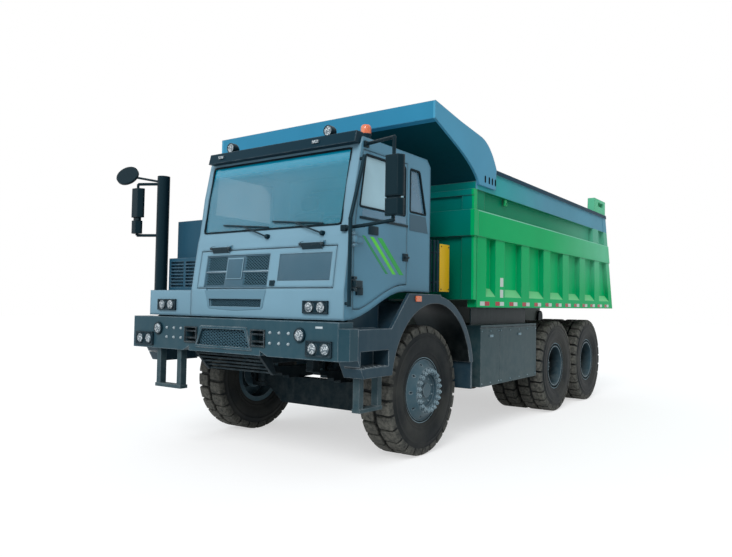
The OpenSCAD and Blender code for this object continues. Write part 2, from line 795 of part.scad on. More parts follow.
// Ears and pin that carry one of the door's straps
module door_hinge(z) {
    for (ear_z = [z - move_gap - 30, z + strap_h + move_gap])
        slab(door_hinge_x - hinge_ear_half, door_hinge_x + hinge_ear_half, cab_y1 - 10,
             door_hinge_y + hinge_ear_half, ear_z, ear_z + 30);
    translate([door_hinge_x, door_hinge_y, z - move_gap - 30])
        cylinder(r = hinge_pin_r, h = strap_h + 2 * move_gap + 60);
}

hatch_hinge_x = front_x(hatch_z1) + 24;
hatch_hinge_z = hatch_z1 + 24;
hatch_hinge_ys = [[-436, -170], [924, 1192]];

// Ears and pin above one of the hatch's straps
module hatch_hinge(span) {
    for (y = [span[0] - move_gap - 20, span[1] + move_gap])
        side_plate([
            [front_x(hatch_z1 + 10) - 10, hatch_z1 + 10], [hatch_hinge_x + 18, hatch_hinge_z - 18],
            [hatch_hinge_x + 18, hatch_hinge_z + 18], [front_x(hatch_z1 + 60) - 10, hatch_z1 + 60]],
            y, y + 20);
    cross_bar(hinge_pin_r, hatch_hinge_x, hatch_hinge_z, span[0] - move_gap - 20, span[1] + move_gap + 20);
}

module cab_shell() {
    mount_w = 90;
    color(slate) for (z = door_hinge_zs) door_hinge(z);
    color(slate) for (span = hatch_hinge_ys) hatch_hinge(span);
    color(slate) difference() {
        union() {
            cab_body();
            for (x = [2700, 3700]) both_sides()
                slab(x - mount_w, x + mount_w, rail_y - rail_w, rail_y, rail_z1, 1920);
        }
        cab_hollow();
        side_plate(door_outline(0), cab_y1 - cab_wall, cab_y1 + over);
        side_plate(quarter_window, cab_y1 - cab_wall - over, cab_y1 + over);
        side_plate(right_window, cab_y0 - over, cab_y0 + cab_wall + over);
        front_plate(rear_window, cab_x0 - over, cab_x0 + cab_wall + over);
        front_plate(screen_outline, screen_back, cab_x1 + over);
        hatch_band(0, hatch_t + panel_gap);
        translate([over, 0, 0]) hatch_band(0, hatch_t);
        front_plate(surround_outline, cab_x1 - surround_depth, cab_x1 + over);
        front_plate(strip_outline, cab_x1 - strip_depth, cab_x1 + over);
    }
}

// Windscreen, set in its opening
module windscreen() {
    inset = 12;
    color(glass_tint) intersection() {
        side_plate([
            [front_x(screen_z0) - inset, screen_z0], [front_x(2935) - inset, 2935],
            [front_x(screen_z1) - inset, screen_z1], [front_x(screen_z1) - inset - glass_t, screen_z1],
            [front_x(2935) - inset - glass_t, 2935], [front_x(screen_z0) - inset - glass_t, screen_z0]],
            cab_y0, cab_y1);
        front_plate(screen_outline, screen_back, cab_x1);
    }
}

module cab_windows() {
    inset = 15;
    color(glass_tint) {
        side_plate(quarter_window, cab_y1 - inset - glass_t, cab_y1 - inset);
        side_plate(right_window, cab_y0 + inset, cab_y0 + inset + glass_t);
        front_plate(rear_window, cab_x0 + inset, cab_x0 + inset + glass_t);
    }
}

module door() {
    color(slate) {
        difference() {
            side_plate(door_outline(panel_gap), cab_y1 - cab_wall, cab_y1);
            side_plate(door_window(), cab_y1 - cab_wall - over, cab_y1 + over);
        }
        for (z = door_hinge_zs) difference() {
            union() {
                translate([door_hinge_x, door_hinge_y, z]) cylinder(r = knuckle_r, h = strap_h);
                slab(door_hinge_x - 140, door_hinge_x, cab_y1 + panel_gap, door_hinge_y, z, z + strap_h);
                slab(door_hinge_x - 140, door_hinge_x - 70, cab_y1 - 10, door_hinge_y, z, z + strap_h);
            }
            translate([door_hinge_x, door_hinge_y, z - over])
                cylinder(r = hinge_pin_r + run_fit, h = strap_h + 2 * over);
        }
    }
}

module door_glass() {
    inset = 15;
    color(glass_tint) side_plate(door_window(), cab_y1 - inset - glass_t, cab_y1 - inset);
}

// Lid with a sunk grille panel round a blank badge, four deeper cells, and a sunk blank sign
module hatch() {
    panel = [-533, 471, 1895, 2253];
    badge = [-182, 69, 1983, 2220];
    sign = [611, 1324, 1958, 2243];
    cell_ys = [[-515, -205], [92, 452]];
    cell_zs = [[1915, 2050], [2085, 2235]];
    panel_d = 12;
    cell_d = 34;
    sign_d = 8;
    color(slate) {
        difference() {
            hatch_band(panel_gap, hatch_t);
            difference() {
                face_pocket(panel[0], panel[1], panel[2], panel[3], panel_d);
                slab(cab_x1 - 4 * cell_d, cab_x1 + 2 * over, badge[0], badge[1], badge[2], badge[3]);
            }
            for (y = cell_ys, z = cell_zs) face_pocket(y[0], y[1], z[0], z[1], cell_d);
            face_pocket(sign[0], sign[1], sign[2], sign[3], sign_d);
        }
        for (span = hatch_hinge_ys) difference() {
            union() {
                cross_bar(20, hatch_hinge_x, hatch_hinge_z, span[0], span[1]);
                side_plate([
                    [front_x(hatch_z1 - 60) - 10, hatch_z1 - 60], [hatch_hinge_x + 20, hatch_hinge_z],
                    [hatch_hinge_x, hatch_hinge_z], [front_x(hatch_z1 - 20) - 10, hatch_z1 - 20]],
                    span[0], span[1]);
            }
            cross_bar(hinge_pin_r + run_fit, hatch_hinge_x, hatch_hinge_z, span[0] - over, span[1] + over);
        }
    }
}

// Cab inside

driver_y = 950;
mate_y = -150;
seat_x = cab_x0 + 406;

module dashboard() {
    wheel = [firewall_x - 400, driver_y, cab_floor_z + 600];
    column = [firewall_x - 240, driver_y, cab_floor_z + 340];
    wheel_ring = 215;
    wheel_tilt = -30;
    side_room = 40;
    color(near_black) {
        translate([firewall_x, 0, cab_floor_z])
            side_plate([[0, 340], [0, 510], [-180, 480], [-320, 370], [-280, 240], [0, 140]],
                       cab_y0 + cab_wall + side_room, cab_y1 - cab_wall - side_room);
        rod(column, wheel, 30);
        translate(wheel) rotate([0, wheel_tilt, 0]) {
            rotate_extrude() translate([wheel_ring, 0]) circle(r = 20);
            translate([-wheel_ring, -20, -12]) cube([2 * wheel_ring, 40, 24]);
        }
    }
}

module seats() {
    cushion_z = 240;
    back_z = 380;
    color(near_black) for (y = [driver_y, mate_y]) translate([seat_x, y, cab_floor_z]) {
        slab(0, 500, -120, 120, 0, cushion_z);
        slab(-50, 500, -260, 260, cushion_z, back_z);
        side_plate([[-120, cushion_z + 20], [-50, back_z], [-110, 940], [-230, 940]], -250, 250);
        side_plate([[-215, 960], [-130, 960], [-135, 1140], [-220, 1140]], -140, 140);
        slab(-200, -150, -60, 60, 930, 970);
    }
}

// Right hood, radiator and control cabinet

hood_y0 = -1508;
hood_z1 = 1862;
deck_x0 = 2600;
hood_x0 = 3400;

module right_hood() {
    hood_y1 = cab_y0 - sill_gap;
    deck_t = 40;
    stay_x0 = cab_x1 - 233;
    stay_x1 = cab_x1 - 153;
    stay_y = -920;
    stay_w = 80;
    stay_z = 1300;
    color(slate) {
        side_plate(concat([[hood_x0, hood_z1], [cab_x1, hood_z1]], lower_curve(cab_x1, hood_x0, 0)),
                   hood_y0, hood_y1);
        slab(deck_x0, hood_x0 + weld, hood_y0, hood_y1, hood_z1 - deck_t, hood_z1);
        slab(stay_x0, stay_x1, stay_y - stay_w, -rail_y, stay_z, stay_z + 100);
        slab(stay_x0, stay_x1, stay_y - stay_w, stay_y, stay_z, cab_toe_z + stay_w);
    }
}

rad_t = 110;
rad_x1 = cab_x1 - 133;
rad_x0 = rad_x1 - rad_t;
rad_z1 = 2255;
cabinet_z1 = 2720;
cabinet_x0 = 2760;
box_y0 = -1340;

// Housing with two louvred bays
module radiator_box() {
    y1 = cab_y0 - 10;
    rim = 36;
    bay_w = (y1 - box_y0 - 3 * rim) / 2;
    slat_count = 8;
    slat_pitch = (rad_z1 - hood_z1 - 2 * rim) / slat_count;
    depth = 40;
    color(near_black) difference() {
        slab(rad_x0, rad_x1, box_y0, y1, hood_z1, rad_z1);
        for (bay = [0, 1], i = [0 : slat_count - 1])
            translate([rad_x1, 0, hood_z1 + rim + i * slat_pitch])
                side_plate([[-depth, slat_pitch * 0.45], [over, -over / 2 + 6], [over, slat_pitch * 0.7],
                            [-depth, slat_pitch * 0.9]],
                           box_y0 + rim + bay * (bay_w + rim), box_y0 + rim + bay * (bay_w + rim) + bay_w);
    }
}

module control_cabinet() {
    color(near_black) slab(cabinet_x0, rad_x0, box_y0 + 10, cab_y0 - 10, hood_z1, cabinet_z1);
}

// Lamps: headlights, bumper lamps, roof lamps, beacon and tail lamps

module lamps() {
    lens_t = 14;
    lens_r = 50;
    head_y = [1010, 1328];
    head_z = [1631, 1749];
    bumper_lamps = [[1108, 1414], [1277, 1290], [1438, 1290]];
    work_lamp_ys = [-351, 1118];
    beacon = [cab_x0 + 1056, cab_y1 - 173];
    color(white_lens) {
        both_sides() {
            slab(cab_x1, cab_x1 + lens_t, head_y[0], head_y[1], head_z[0], head_z[1]);
            for (k = [0.26, 0.74])
                translate([cab_x1, head_y[0] + k * (head_y[1] - head_y[0]), (head_z[0] + head_z[1]) / 2])
                    rotate([0, 90, 0]) cylinder(r = lens_r, h = 2 * lens_t);
            for (p = bumper_lamps)
                translate([nose_x, p[0], p[1]]) rotate([0, 90, 0]) cylinder(r = lens_r + 5, h = lens_t);
            slab(rail_x0 - lens_t, rail_x0, rail_y - rail_w, rail_y, rail_z0 + 100, rail_z0 + 250);
        }
        for (y = work_lamp_ys)
            translate([visor_lip - 80, y, visor_z1 + lens_r]) rotate([0, 90, 0]) cylinder(r = lens_r, h = 60);
        translate([beacon[0], beacon[1], roof_z]) cylinder(r = 55, h = 110);
    }
}

visor_z0 = 3352;
visor_z1 = 3472;
visor_lip = cab_x1 - 173;

module roof_visor() {
    lean = 20;
    back_x = visor_lip - 120;
    color(near_black) side_plate([
        [front_x(visor_z0), visor_z0], [visor_lip + lean, visor_z0], [visor_lip - lean / 2, visor_z1],
        [back_x, visor_z1], [back_x, roof_z], [front_x(roof_z), roof_z]], cab_y0 + 60, cab_y1 - 20);
}

// Mirrors: arms from the left pillar, and a pole on the right hood

// Housing of one mirror, its glass side to the rear and its front edges drawn in
module mirror_head(x, y0, y1, z0, z1) {
    depth = 78;
    flat = 26;
    draw_in = 34;
    translate([0, 0, z0]) linear_extrude(z1 - z0)
        polygon([[x, y0], [x, y1], [x + flat, y1], [x + depth, y1 - draw_in], [x + depth, y0 + draw_in],
                 [x + flat, y0]]);
}

module mirrors() {
    pole_y = -1425;
    pole_x = 4060;
    pad = 24;
    color(near_black) {
        translate([pole_x, pole_y, hood_z1]) cylinder(r = 75, h = 1410);
        for (z = [2540, 3180]) rod([pole_x, pole_y, z], [4210, -1720, z], 18);
        mirror_head(4195, -1790, -1610, 2760, 3120);
        mirror_head(4195, -1780, -1640, 2560, 2720);
        rod([4215, -1720, 2540], [4215, -1720, 3180], 16);
        rod([pole_x, pole_y, 3200], [4237, -1895, 3295], 14);
        translate([4237, -1900, 3290]) rotate([0, 60, 25]) cylinder(r = 140, h = 30);
        bent_tube([[4070, 1450, 2475], [4062, 1690, 2490], [3930, 1940, 2540], [3930, 1940, 3350],
                   [3840, cab_y1 + pad / 2, 3350]], 18);
        side_plate([[front_x(2445), 2445], [4090, 2445], [4090, 2505], [front_x(2505), 2505]], 1420, 1480);
        slab(3800, 3870, cab_y1, cab_y1 + pad, 3320, 3380);
        mirror_head(3905, 1843, 2052, 2770, 3170);
        mirror_head(3905, 1843, 2052, 2585, 2750);
    }
}

hood_handle_x = cab_x1 - 60;

module grab_rails() {
    rail_out = cab_y1 + 45;
    low = [4120, 1700];
    bend = [4120, 2560];
    top = [3905, 3220];
    color(near_black) {
        bent_tube([for (p = [low, bend, top]) [p[0], rail_out, p[1]]], 20);
        for (p = [[low[0], low[1] + 30], [top[0] + 8, top[1] - 30]])
            cross_bar(16, p[0], p[1], cab_y1, rail_out);
        bent_tube([for (p = [[0, 1785], [52, 1785], [52, 1645], [0, 1645]])
                      [hood_handle_x, hood_y0 - p[0], p[1]]], 14);
    }
}

// Ladders: one hangs below the bumper on the right, one below the left fender

module ladders() {
    right_straps = [-1160, -790];
    left_straps = [3545, 3860];
    strap_x = 4210;
    strap_half = 35;
    rung_t = 40;
    rung_z = 730;
    foot_z = 640;
    foot_y = fender_y - 160;
    color(steel_blue) {
        for (y = right_straps)
            slab(strap_x - 40, strap_x + 40, y - strap_half, y + strap_half, rung_z + weld, bumper_z0);
        slab(strap_x - 50, strap_x + 50, right_straps[0] - strap_half - 10, right_straps[1] + strap_half + 10,
             rung_z, rung_z + rung_t);
        for (x = left_straps)
            slab(x - strap_half, x + strap_half, foot_y - 40, foot_y + 40, foot_z + weld, panel_z0);
        slab(left_straps[0] - strap_half, left_straps[1] + strap_half, foot_y - 50, foot_y + 50,
             foot_z, foot_z + rung_t);
    }
}

box_x0 = -640;
box_x1 = 1292;
side_box_y = 1577;

module side_boxes() {
    y0 = 900;
    z0 = 648;
    z1 = 1465;
    seam_x = 690;
    seam_w = 12;
    seam_d = 10;
    plate_y = 1400;
    plate_z1 = bed_z0 - 2 * move_gap;
    color(dark_slate) both_sides() {
        difference() {
            slab(box_x0, box_x1, y0, side_box_y, z0, z1);
            slab(seam_x, seam_x + seam_w, side_box_y - seam_d, side_box_y + over, z0 - over, z1 - 40);
            slab(box_x0 - over, box_x1 + over, side_box_y - seam_d, side_box_y + over,
                 z1 - 40, z1 - 40 + seam_w);
        }
        slab(box_x0 + 20, box_x1 - 50, plate_y - 20, plate_y, z1 - weld, plate_z1);
        for (x = [-300, 1000]) slab(x - 60, x + 60, rail_y, y0 + weld, rail_z0 + 60, rail_z0 + 260);
    }
}

module air_hose() {
    color(near_black) {
        translate([2360, 1330, cab_z0]) cylinder(r = 70, h = 600);
        for (z = [1920, 2380]) slab(2360, cab_x0, 1300, 1360, z, z + 40);
    }
}

// Body: floor with its sills, two ribbed sides, headboard with canopy

floor_t = 60;
floor_z = bed_z0 + 95;
bed_inner = bed_half - bed_wall;
sill_end_r = hinge_z - rail_z1 - sill_gap;
gate_t = 90;
gate_pin_r = 40;
gate_x = -3680;
gate_z = bed_z1 + 190;
tail_lean = 498;
rib_depth = 90;
wall_out = bed_half - rib_depth;
belt_proud = 14;
rib_face = bed_half - belt_proud;
rib_w = 335;
rib_draft = 24;
rib_pitch = 864;
rib_first = bed_x1 - 685;
rib_count = 6;
post_w = 258;
rear_post_w = 210;
foot_h = 140;
ledge_rise = 110;
belt_z0 = 2604;
belt_z1 = 2937;
band_z0 = 3198;
band_z1 = 3466;
band_face = bed_half - 20;
cheek_x0 = bed_x1 - 498;
rear_stud_x = bed_x1 - 5095;
tail_slope = (bed_z1 - bed_z0) / tail_lean;
function rear_x(z) = bed_x0 + (z - bed_z0) / tail_slope;

module bed_floor() {
    sill_y0 = rail_y - rail_w;
    color(body_green) difference() {
        union() {
            slab(rear_x(floor_z + floor_t) + gate_t + move_gap, bed_x1, -bed_inner, bed_inner,
                 floor_z, floor_z + floor_t);
            both_sides() {
                slab(hinge_x, bed_x1, sill_y0, rail_y, rail_z1 + sill_gap, floor_z);
                slab(hinge_x - sill_end_r, hinge_x, sill_y0, rail_y, hinge_z, floor_z);
                cross_bar(sill_end_r, hinge_x, hinge_z, sill_y0, rail_y);
            }
            for (x = [-3000, -2000, -1000, 0, 1000])
                slab(x - 50, x + 50, -bed_inner, bed_inner, floor_z - 90, floor_z);
        }
        both_sides() cross_bar(bed_pin_r + run_fit, hinge_x, hinge_z, sill_y0 - over, rail_y + over);
    }
}

// Outline of a body side, its rear end slanting
function side_outline() = [
    [rear_x(bed_z0), bed_z0], [bed_x1, bed_z0], [bed_x1, bed_z1], [rear_x(bed_z1), bed_z1]];

// Length of the side between two heights and two faces, up to an end
module side_course(z0, z1, face, x1) {
    slab(bed_x0 - over, x1, wall_out - weld, face, z0, z1);
}

// Box ribs, posts, foot rail with sloping ledges, belt, band and top rail on the outside of a side
module side_frame() {
    for (i = [0 : rib_count - 1]) translate([rib_first - i * rib_pitch, 0, bed_z0 + over])
        linear_extrude(belt_z0 - bed_z0)
            polygon([[-rib_w / 2, wall_out - weld], [rib_w / 2, wall_out - weld],
                     [rib_w / 2 - rib_draft, rib_face], [-rib_w / 2 + rib_draft, rib_face]]);
    slab(bed_x1 - post_w, bed_x1 + over, wall_out - weld, rib_face, bed_z0 + over, belt_z0 + over);
    slab(bed_x1 - post_w, bed_x1 + over, wall_out - weld, wall_out + rib_depth / 2,
         belt_z1 - over, band_z0 + over);
    side_plate([[rear_x(bed_z0) - over, bed_z0 - over], [rear_x(bed_z0) + rear_post_w, bed_z0 - over],
                [rear_x(bed_z1) + rear_post_w, bed_z1], [rear_x(bed_z1) - over, bed_z1]],
               wall_out - weld, rib_face);
    front_plate([[wall_out - weld, bed_z0 - over], [rib_face, bed_z0 - over], [rib_face, bed_z0 + foot_h],
                 [wall_out - weld, bed_z0 + foot_h + ledge_rise]], bed_x0 - over, bed_x1 + over);
    side_course(belt_z0, belt_z1, bed_half, bed_x1 + over);
    side_course(band_z0, band_z1, band_face, bed_x1 + over);
    side_course(band_z1 - weld, bed_z1 + over, bed_half - over, bed_x1 + over);
    side_course(band_z1, bed_z1 + over, bed_half, cheek_x0 - 2 * move_gap);
    slab(rear_stud_x, rear_stud_x + rib_w, wall_out - weld, rib_face, belt_z1 - over, band_z0 + over);
}

module bed_side() {
    ear_z1 = gate_z + 79;
    ear_x1 = gate_x + 580;
    eye_x = [gate_x + 9, gate_x + 338];
    eye_z = [gate_z - 60, gate_z + 20];
    difference() {
        union() {
            side_plate(side_outline(), bed_inner, wall_out);
            intersection() {
                side_plate(side_outline(), bed_inner, bed_half + over);
                side_frame();
            }
            side_plate([[rear_x(bed_z1), bed_z1 - 10], [ear_x1, bed_z1 - 10], [ear_x1 - 30, ear_z1],
                        [gate_x - 126, ear_z1]], bed_inner, band_face);
        }
        slab(eye_x[0], eye_x[1], wall_out, bed_half + over, eye_z[0], eye_z[1]);
    }
    cross_bar(gate_pin_r, gate_x, gate_z, bed_inner - move_gap - arm_t - 20, bed_inner + 10);
}

module bed_left() {
    color(body_green) bed_side();
}

module bed_right() {
    color(body_green) mirror([0, 1, 0]) bed_side();
}

head_t = 40;

// Points of a curve drawn by two ends and a control point
function curve(a, c, b, steps) = [
    for (i = [0 : steps]) let (t = i / steps) (1 - t) * (1 - t) * a + 2 * t * (1 - t) * c + t * t * b];

// Underside of the canopy, from the headboard forward to the lip
canopy_root_z = 3254;
canopy_lip_h = 205;
canopy_under = concat(
    curve([bed_x1, canopy_root_z], [bed_x1 + 110, canopy_root_z + 196],
          [bed_x1 + 634, canopy_z1 - 386], curve_steps),
    [[canopy_x1, canopy_z1 - canopy_lip_h]]);

// Side cheek of the canopy: over the band, up round the shoulder and forward to the lip
function cheek_outline() = concat(
    [[cheek_x0 + 26, canopy_root_z]], canopy_under,
    [[canopy_x1, canopy_z1], [cheek_x0 + 1013, canopy_z1 - 94]],
    curve([cheek_x0 + 450, canopy_z1 - 162], [cheek_x0 + 180, canopy_z1 - 200], [cheek_x0, bed_z1 + 1],
          curve_steps));

module bed_front() {
    sheet_t = 40;
    lip_t = 60;
    cheek_t = 30;
    beam_d = 106;
    slot_xs = [27, 118, 208, 325];
    slot_z = [3316, 3383];
    slot_w = 20;
    hoist_ear_r = 90;
    hoist_ear_y = [75, 115];
    head_top = canopy_under[0][1] + sheet_t;
    color(body_green) {
        slab(bed_x1, bed_x1 + head_t, -band_face, band_face, floor_z, head_top);
        slab(bed_x1, bed_x1 + beam_d, -bed_half, bed_half, belt_z0, belt_z1);
        slab(bed_x1, bed_x1 + 0.8 * beam_d, -band_face, band_face, band_z0 - 80, band_z0);
        both_sides() slab(bed_x1, bed_x1 + 0.7 * beam_d, band_face - 180, band_face, floor_z, band_z0);
        side_plate(concat(canopy_under,
                          [for (i = [len(canopy_under) - 1 : -1 : 0]) canopy_under[i] + [0, sheet_t]]),
                   -band_face, band_face);
        side_plate([[canopy_x1 - lip_t, canopy_z1 - canopy_lip_h - 15],
                    [canopy_x1, canopy_z1 - canopy_lip_h + weld], [canopy_x1, canopy_z1],
                    [canopy_x1 - lip_t, canopy_z1 - 10]], -band_face, band_face);
        both_sides() {
            difference() {
                side_plate(cheek_outline(), band_face, band_face + cheek_t);
                for (x = slot_xs)
                    slab(cheek_x0 + x, cheek_x0 + x + slot_w, band_face - over, band_face + cheek_t + over,
                         slot_z[0], slot_z[1]);
            }
            slab(bed_x1 + weld, hoist_x, hoist_ear_y[0], hoist_ear_y[1], hoist_top_z - hoist_ear_r,
                 hoist_top_z + hoist_ear_r);
            cross_bar(hoist_ear_r, hoist_x, hoist_top_z, hoist_ear_y[0], hoist_ear_y[1]);
        }
    }
}

arm_t = 60;

module tailgate() {
    gate_y = bed_inner - move_gap;
    gate_z0 = floor_z - 20;
    arm_z = 3000;
    arm_inset = 15;
    arm_eye_r = 80;
    arm_top = arm_eye_r - arm_inset;
    beam_zs = [1900, 2350, 2800, 3250];
    beam_h = 150;
    beam_d = 45;
    color(body_green) difference() {
        union() {
            side_plate([[rear_x(gate_z0), gate_z0], [rear_x(gate_z0) + gate_t, gate_z0],
                        [rear_x(bed_z1) + gate_t, bed_z1], [rear_x(bed_z1), bed_z1]], -gate_y, gate_y);
            for (z = beam_zs)
                side_plate([[rear_x(z) + weld, z], [rear_x(z) - beam_d + 12, z + 20],
                            [rear_x(z + beam_h) - beam_d, z + beam_h - 20],
                            [rear_x(z + beam_h) + weld, z + beam_h]],
                           -gate_y + 60, gate_y - 60);
            both_sides() {
                side_plate([[rear_x(arm_z) + arm_inset, arm_z], [rear_x(arm_z) + gate_t - arm_inset, arm_z],
                            [gate_x + arm_top, gate_z], [gate_x - arm_top, gate_z]], gate_y - arm_t, gate_y);
                cross_bar(arm_eye_r, gate_x, gate_z, gate_y - arm_t, gate_y);
            }
        }
        both_sides() cross_bar(gate_pin_r + run_fit, gate_x, gate_z, gate_y - arm_t - over, gate_y + over);
    }
}

frame();
bumper();
front_grilles();
skid_plate();
fenders();
cab_shell();
windscreen();
cab_windows();
dashboard();
seats();
right_hood();
lamps();
radiator_box();
control_cabinet();
mirrors();
roof_visor();
grab_rails();
ladders();
side_boxes();
front_axle();
drive_axles();
springs();
driveline();
air_hose();
door();
door_glass();
hatch();
knuckle(1);  // left_knuckle
knuckle(-1);  // right_knuckle
for (i = [0 : 5]) {
    wheel_tyre(i);
    wheel_rim(i);
}
bed_floor();
bed_left();
bed_right();
bed_front();
tailgate();
hoist_barrel();
hoist_stage(1);  // hoist_stage_1
hoist_stage(2);  // hoist_stage_2
hoist_stage(3);  // hoist_stage_3
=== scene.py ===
import math
import bmesh
import bpy
import numpy
from mathutils import Matrix, Vector


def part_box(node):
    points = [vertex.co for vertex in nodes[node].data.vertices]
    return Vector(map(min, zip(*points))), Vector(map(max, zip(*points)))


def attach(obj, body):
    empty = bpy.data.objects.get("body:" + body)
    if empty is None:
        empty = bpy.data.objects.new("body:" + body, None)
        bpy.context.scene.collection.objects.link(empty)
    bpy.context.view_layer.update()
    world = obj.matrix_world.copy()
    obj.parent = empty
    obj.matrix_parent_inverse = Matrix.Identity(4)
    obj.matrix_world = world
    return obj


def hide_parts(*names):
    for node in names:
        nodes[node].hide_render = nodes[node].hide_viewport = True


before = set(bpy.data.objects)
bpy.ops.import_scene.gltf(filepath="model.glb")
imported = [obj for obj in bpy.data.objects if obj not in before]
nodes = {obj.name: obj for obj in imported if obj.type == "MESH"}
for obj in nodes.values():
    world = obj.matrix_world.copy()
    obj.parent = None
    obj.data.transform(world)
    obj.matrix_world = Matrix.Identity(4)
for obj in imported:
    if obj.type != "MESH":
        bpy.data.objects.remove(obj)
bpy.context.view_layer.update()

# Studio: a seamless white floor under a soft sky, with one wide key light from the front left and a weak
# fill. The camera stands ahead of the truck's left corner, a little below the height of the cab floor.
scene = bpy.context.scene
scene.view_settings.view_transform = "Standard"

EYE = Vector((9.0569, 5.4295, 1.7317))
YAW, PITCH, ROLL = (math.radians(a) for a in (-145.881, 2.3266, 0.8186))
camera_data = bpy.data.cameras.new("camera")
camera_data.sensor_fit = "HORIZONTAL"
camera_data.sensor_width = 36.0
camera_data.lens = 31.81
camera_data.shift_x = -0.0378
camera_data.shift_y = -0.0009
camera_data.clip_end = 400
forward = Vector((math.cos(YAW) * math.cos(PITCH), math.sin(YAW) * math.cos(PITCH), math.sin(PITCH)))
level = forward.cross(Vector((0, 0, 1))).normalized()
upright = level.cross(forward)
right = math.cos(ROLL) * level + math.sin(ROLL) * upright
above = math.cos(ROLL) * upright - math.sin(ROLL) * level
camera = bpy.data.objects.new("camera", camera_data)
camera.matrix_world = Matrix.Translation(EYE) @ Matrix((right, above, -forward)).transposed().to_4x4()
scene.collection.objects.link(camera)
scene.camera = camera


def wire(tree, kind, values=None, **settings):
    """Adds a shader node with its settings, and sets or links its inputs by name or number."""
    node = tree.nodes.new("ShaderNode" + kind)
    for key, value in settings.items():
        setattr(node, key, value)
    for key, value in (values or {}).items():
        if isinstance(value, bpy.types.NodeSocket):
            tree.links.new(value, node.inputs[key])
        else:
            node.inputs[key].default_value = value
    return node


def maths(tree, operation, a, b=0.0, clamp=False):
    return wire(tree, "Math", {0: a, 1: b}, operation=operation, use_clamp=clamp).outputs[0]


def seen_directly(tree):
    """1 where a ray comes straight from the camera, a mirror or a pane."""
    path = wire(tree, "LightPath").outputs
    seen = maths(tree, "MAXIMUM", path["Is Camera Ray"], path["Is Glossy Ray"])
    return maths(tree, "MAXIMUM", seen, path["Is Transmission Ray"])


def empty_material(name):
    material = bpy.data.materials.new(name)
    material.use_nodes = True
    material.node_tree.nodes.clear()
    return material, material.node_tree


world = bpy.data.worlds.new("sky")
scene.world = world
world.use_nodes = True
sky = world.node_tree
sky.nodes.clear()
soft_sky = wire(sky, "Background", {"Color": (0.88, 0.95, 1.0, 1), "Strength": 0.62})
white_sky = wire(sky, "Background", {"Color": (1, 1, 1, 1), "Strength": 1.0})
sky_mix = wire(sky, "MixShader", {0: seen_directly(sky), 1: soft_sky.outputs[0], 2: white_sky.outputs[0]})
wire(sky, "OutputWorld", {"Surface": sky_mix.outputs[0]})

FLOOR_HALF, FLOOR_Z = 60.0, -0.002
floor_mesh = bpy.data.meshes.new("floor")
floor_mesh.from_pydata([(x * FLOOR_HALF, y * FLOOR_HALF, FLOOR_Z) for x, y in ((-1, -1), (1, -1), (1, 1), (-1, 1))],
                       [], [(0, 1, 2, 3)])
floor = bpy.data.objects.new("floor", floor_mesh)
scene.collection.objects.link(floor)
floor_paint, tree = empty_material("white_floor")
floor_shadow = wire(tree, "BsdfDiffuse", {"Color": (0.5, 0.5, 0.5, 1)})
floor_glow = wire(tree, "Emission", {"Color": (1, 1, 1, 1), "Strength": 0.56})
floor_seen = wire(tree, "AddShader", {0: floor_shadow.outputs[0], 1: floor_glow.outputs[0]})
floor_bounce = wire(tree, "BsdfDiffuse", {"Color": (0.62, 0.62, 0.62, 1)})
floor_mix = wire(tree, "MixShader", {0: seen_directly(tree), 1: floor_bounce.outputs[0], 2: floor_seen.outputs[0]})
wire(tree, "OutputMaterial", {"Surface": floor_mix.outputs[0]})
floor_mesh.materials.append(floor_paint)

for light_name, direction, strength, angle in (
        ("key", (1.45, 0.55, 1.2), 1.85, 30), ("fill", (1.0, -0.5, 0.5), 0.55, 60)):
    lamp = bpy.data.lights.new(light_name, "SUN")
    lamp.energy = strength
    lamp.angle = math.radians(angle)
    light = bpy.data.objects.new(light_name, lamp)
    light.rotation_euler = Vector(direction).to_track_quat("Z", "Y").to_euler()
    scene.collection.objects.link(light)

# Chassis: two pressed channel rails with round cross tubes, the axles, springs and drive shafts below
# them, sprayed with a thick satin black chassis paint that road dust clings to.


def srgb(red, green, blue):
    """Linear colour of a paint swatch given as it looks on a screen, 0 to 255."""
    return tuple((c / 255 / 12.92 if c <= 10 else ((c / 255 + 0.055) / 1.055) ** 2.4)
                 for c in (red, green, blue)) + (1.0,)


def shader_group(name, inputs, outputs):
    """A node group with named sockets, and its own input and output sockets."""
    tree = bpy.data.node_groups.new(name, "ShaderNodeTree")
    for label, kind, value in inputs:
        socket = tree.interface.new_socket(label, in_out="INPUT", socket_type="NodeSocket" + kind)
        socket.default_value = value
    for label, kind in outputs:
        tree.interface.new_socket(label, in_out="OUTPUT", socket_type="NodeSocket" + kind)
    return tree, tree.nodes.new("NodeGroupInput").outputs, tree.nodes.new("NodeGroupOutput").inputs


def ramp(tree, value, low, high, to_low=0.0, to_high=1.0):
    return wire(tree, "MapRange", {0: value, 1: low, 2: high, 3: to_low, 4: to_high}).outputs[0]


def times(tree, a, b, clamp=False):
    return maths(tree, "MULTIPLY", a, b, clamp)


def blend(tree, factor, a, b):
    return wire(tree, "Mix", {0: factor, 6: a, 7: b}, data_type="RGBA").outputs[2]


def noise(tree, vector, scale, detail=4.0, rough=0.55):
    return wire(tree, "TexNoise", {"Vector": vector, "Scale": scale, "Detail": detail, "Roughness": rough}).outputs[0]


def place_on(tree):
    """Place on the truck, in metres."""
    return wire(tree, "TexCoord").outputs["Object"]


def split(tree, vector):
    return wire(tree, "SeparateXYZ", {0: vector}).outputs


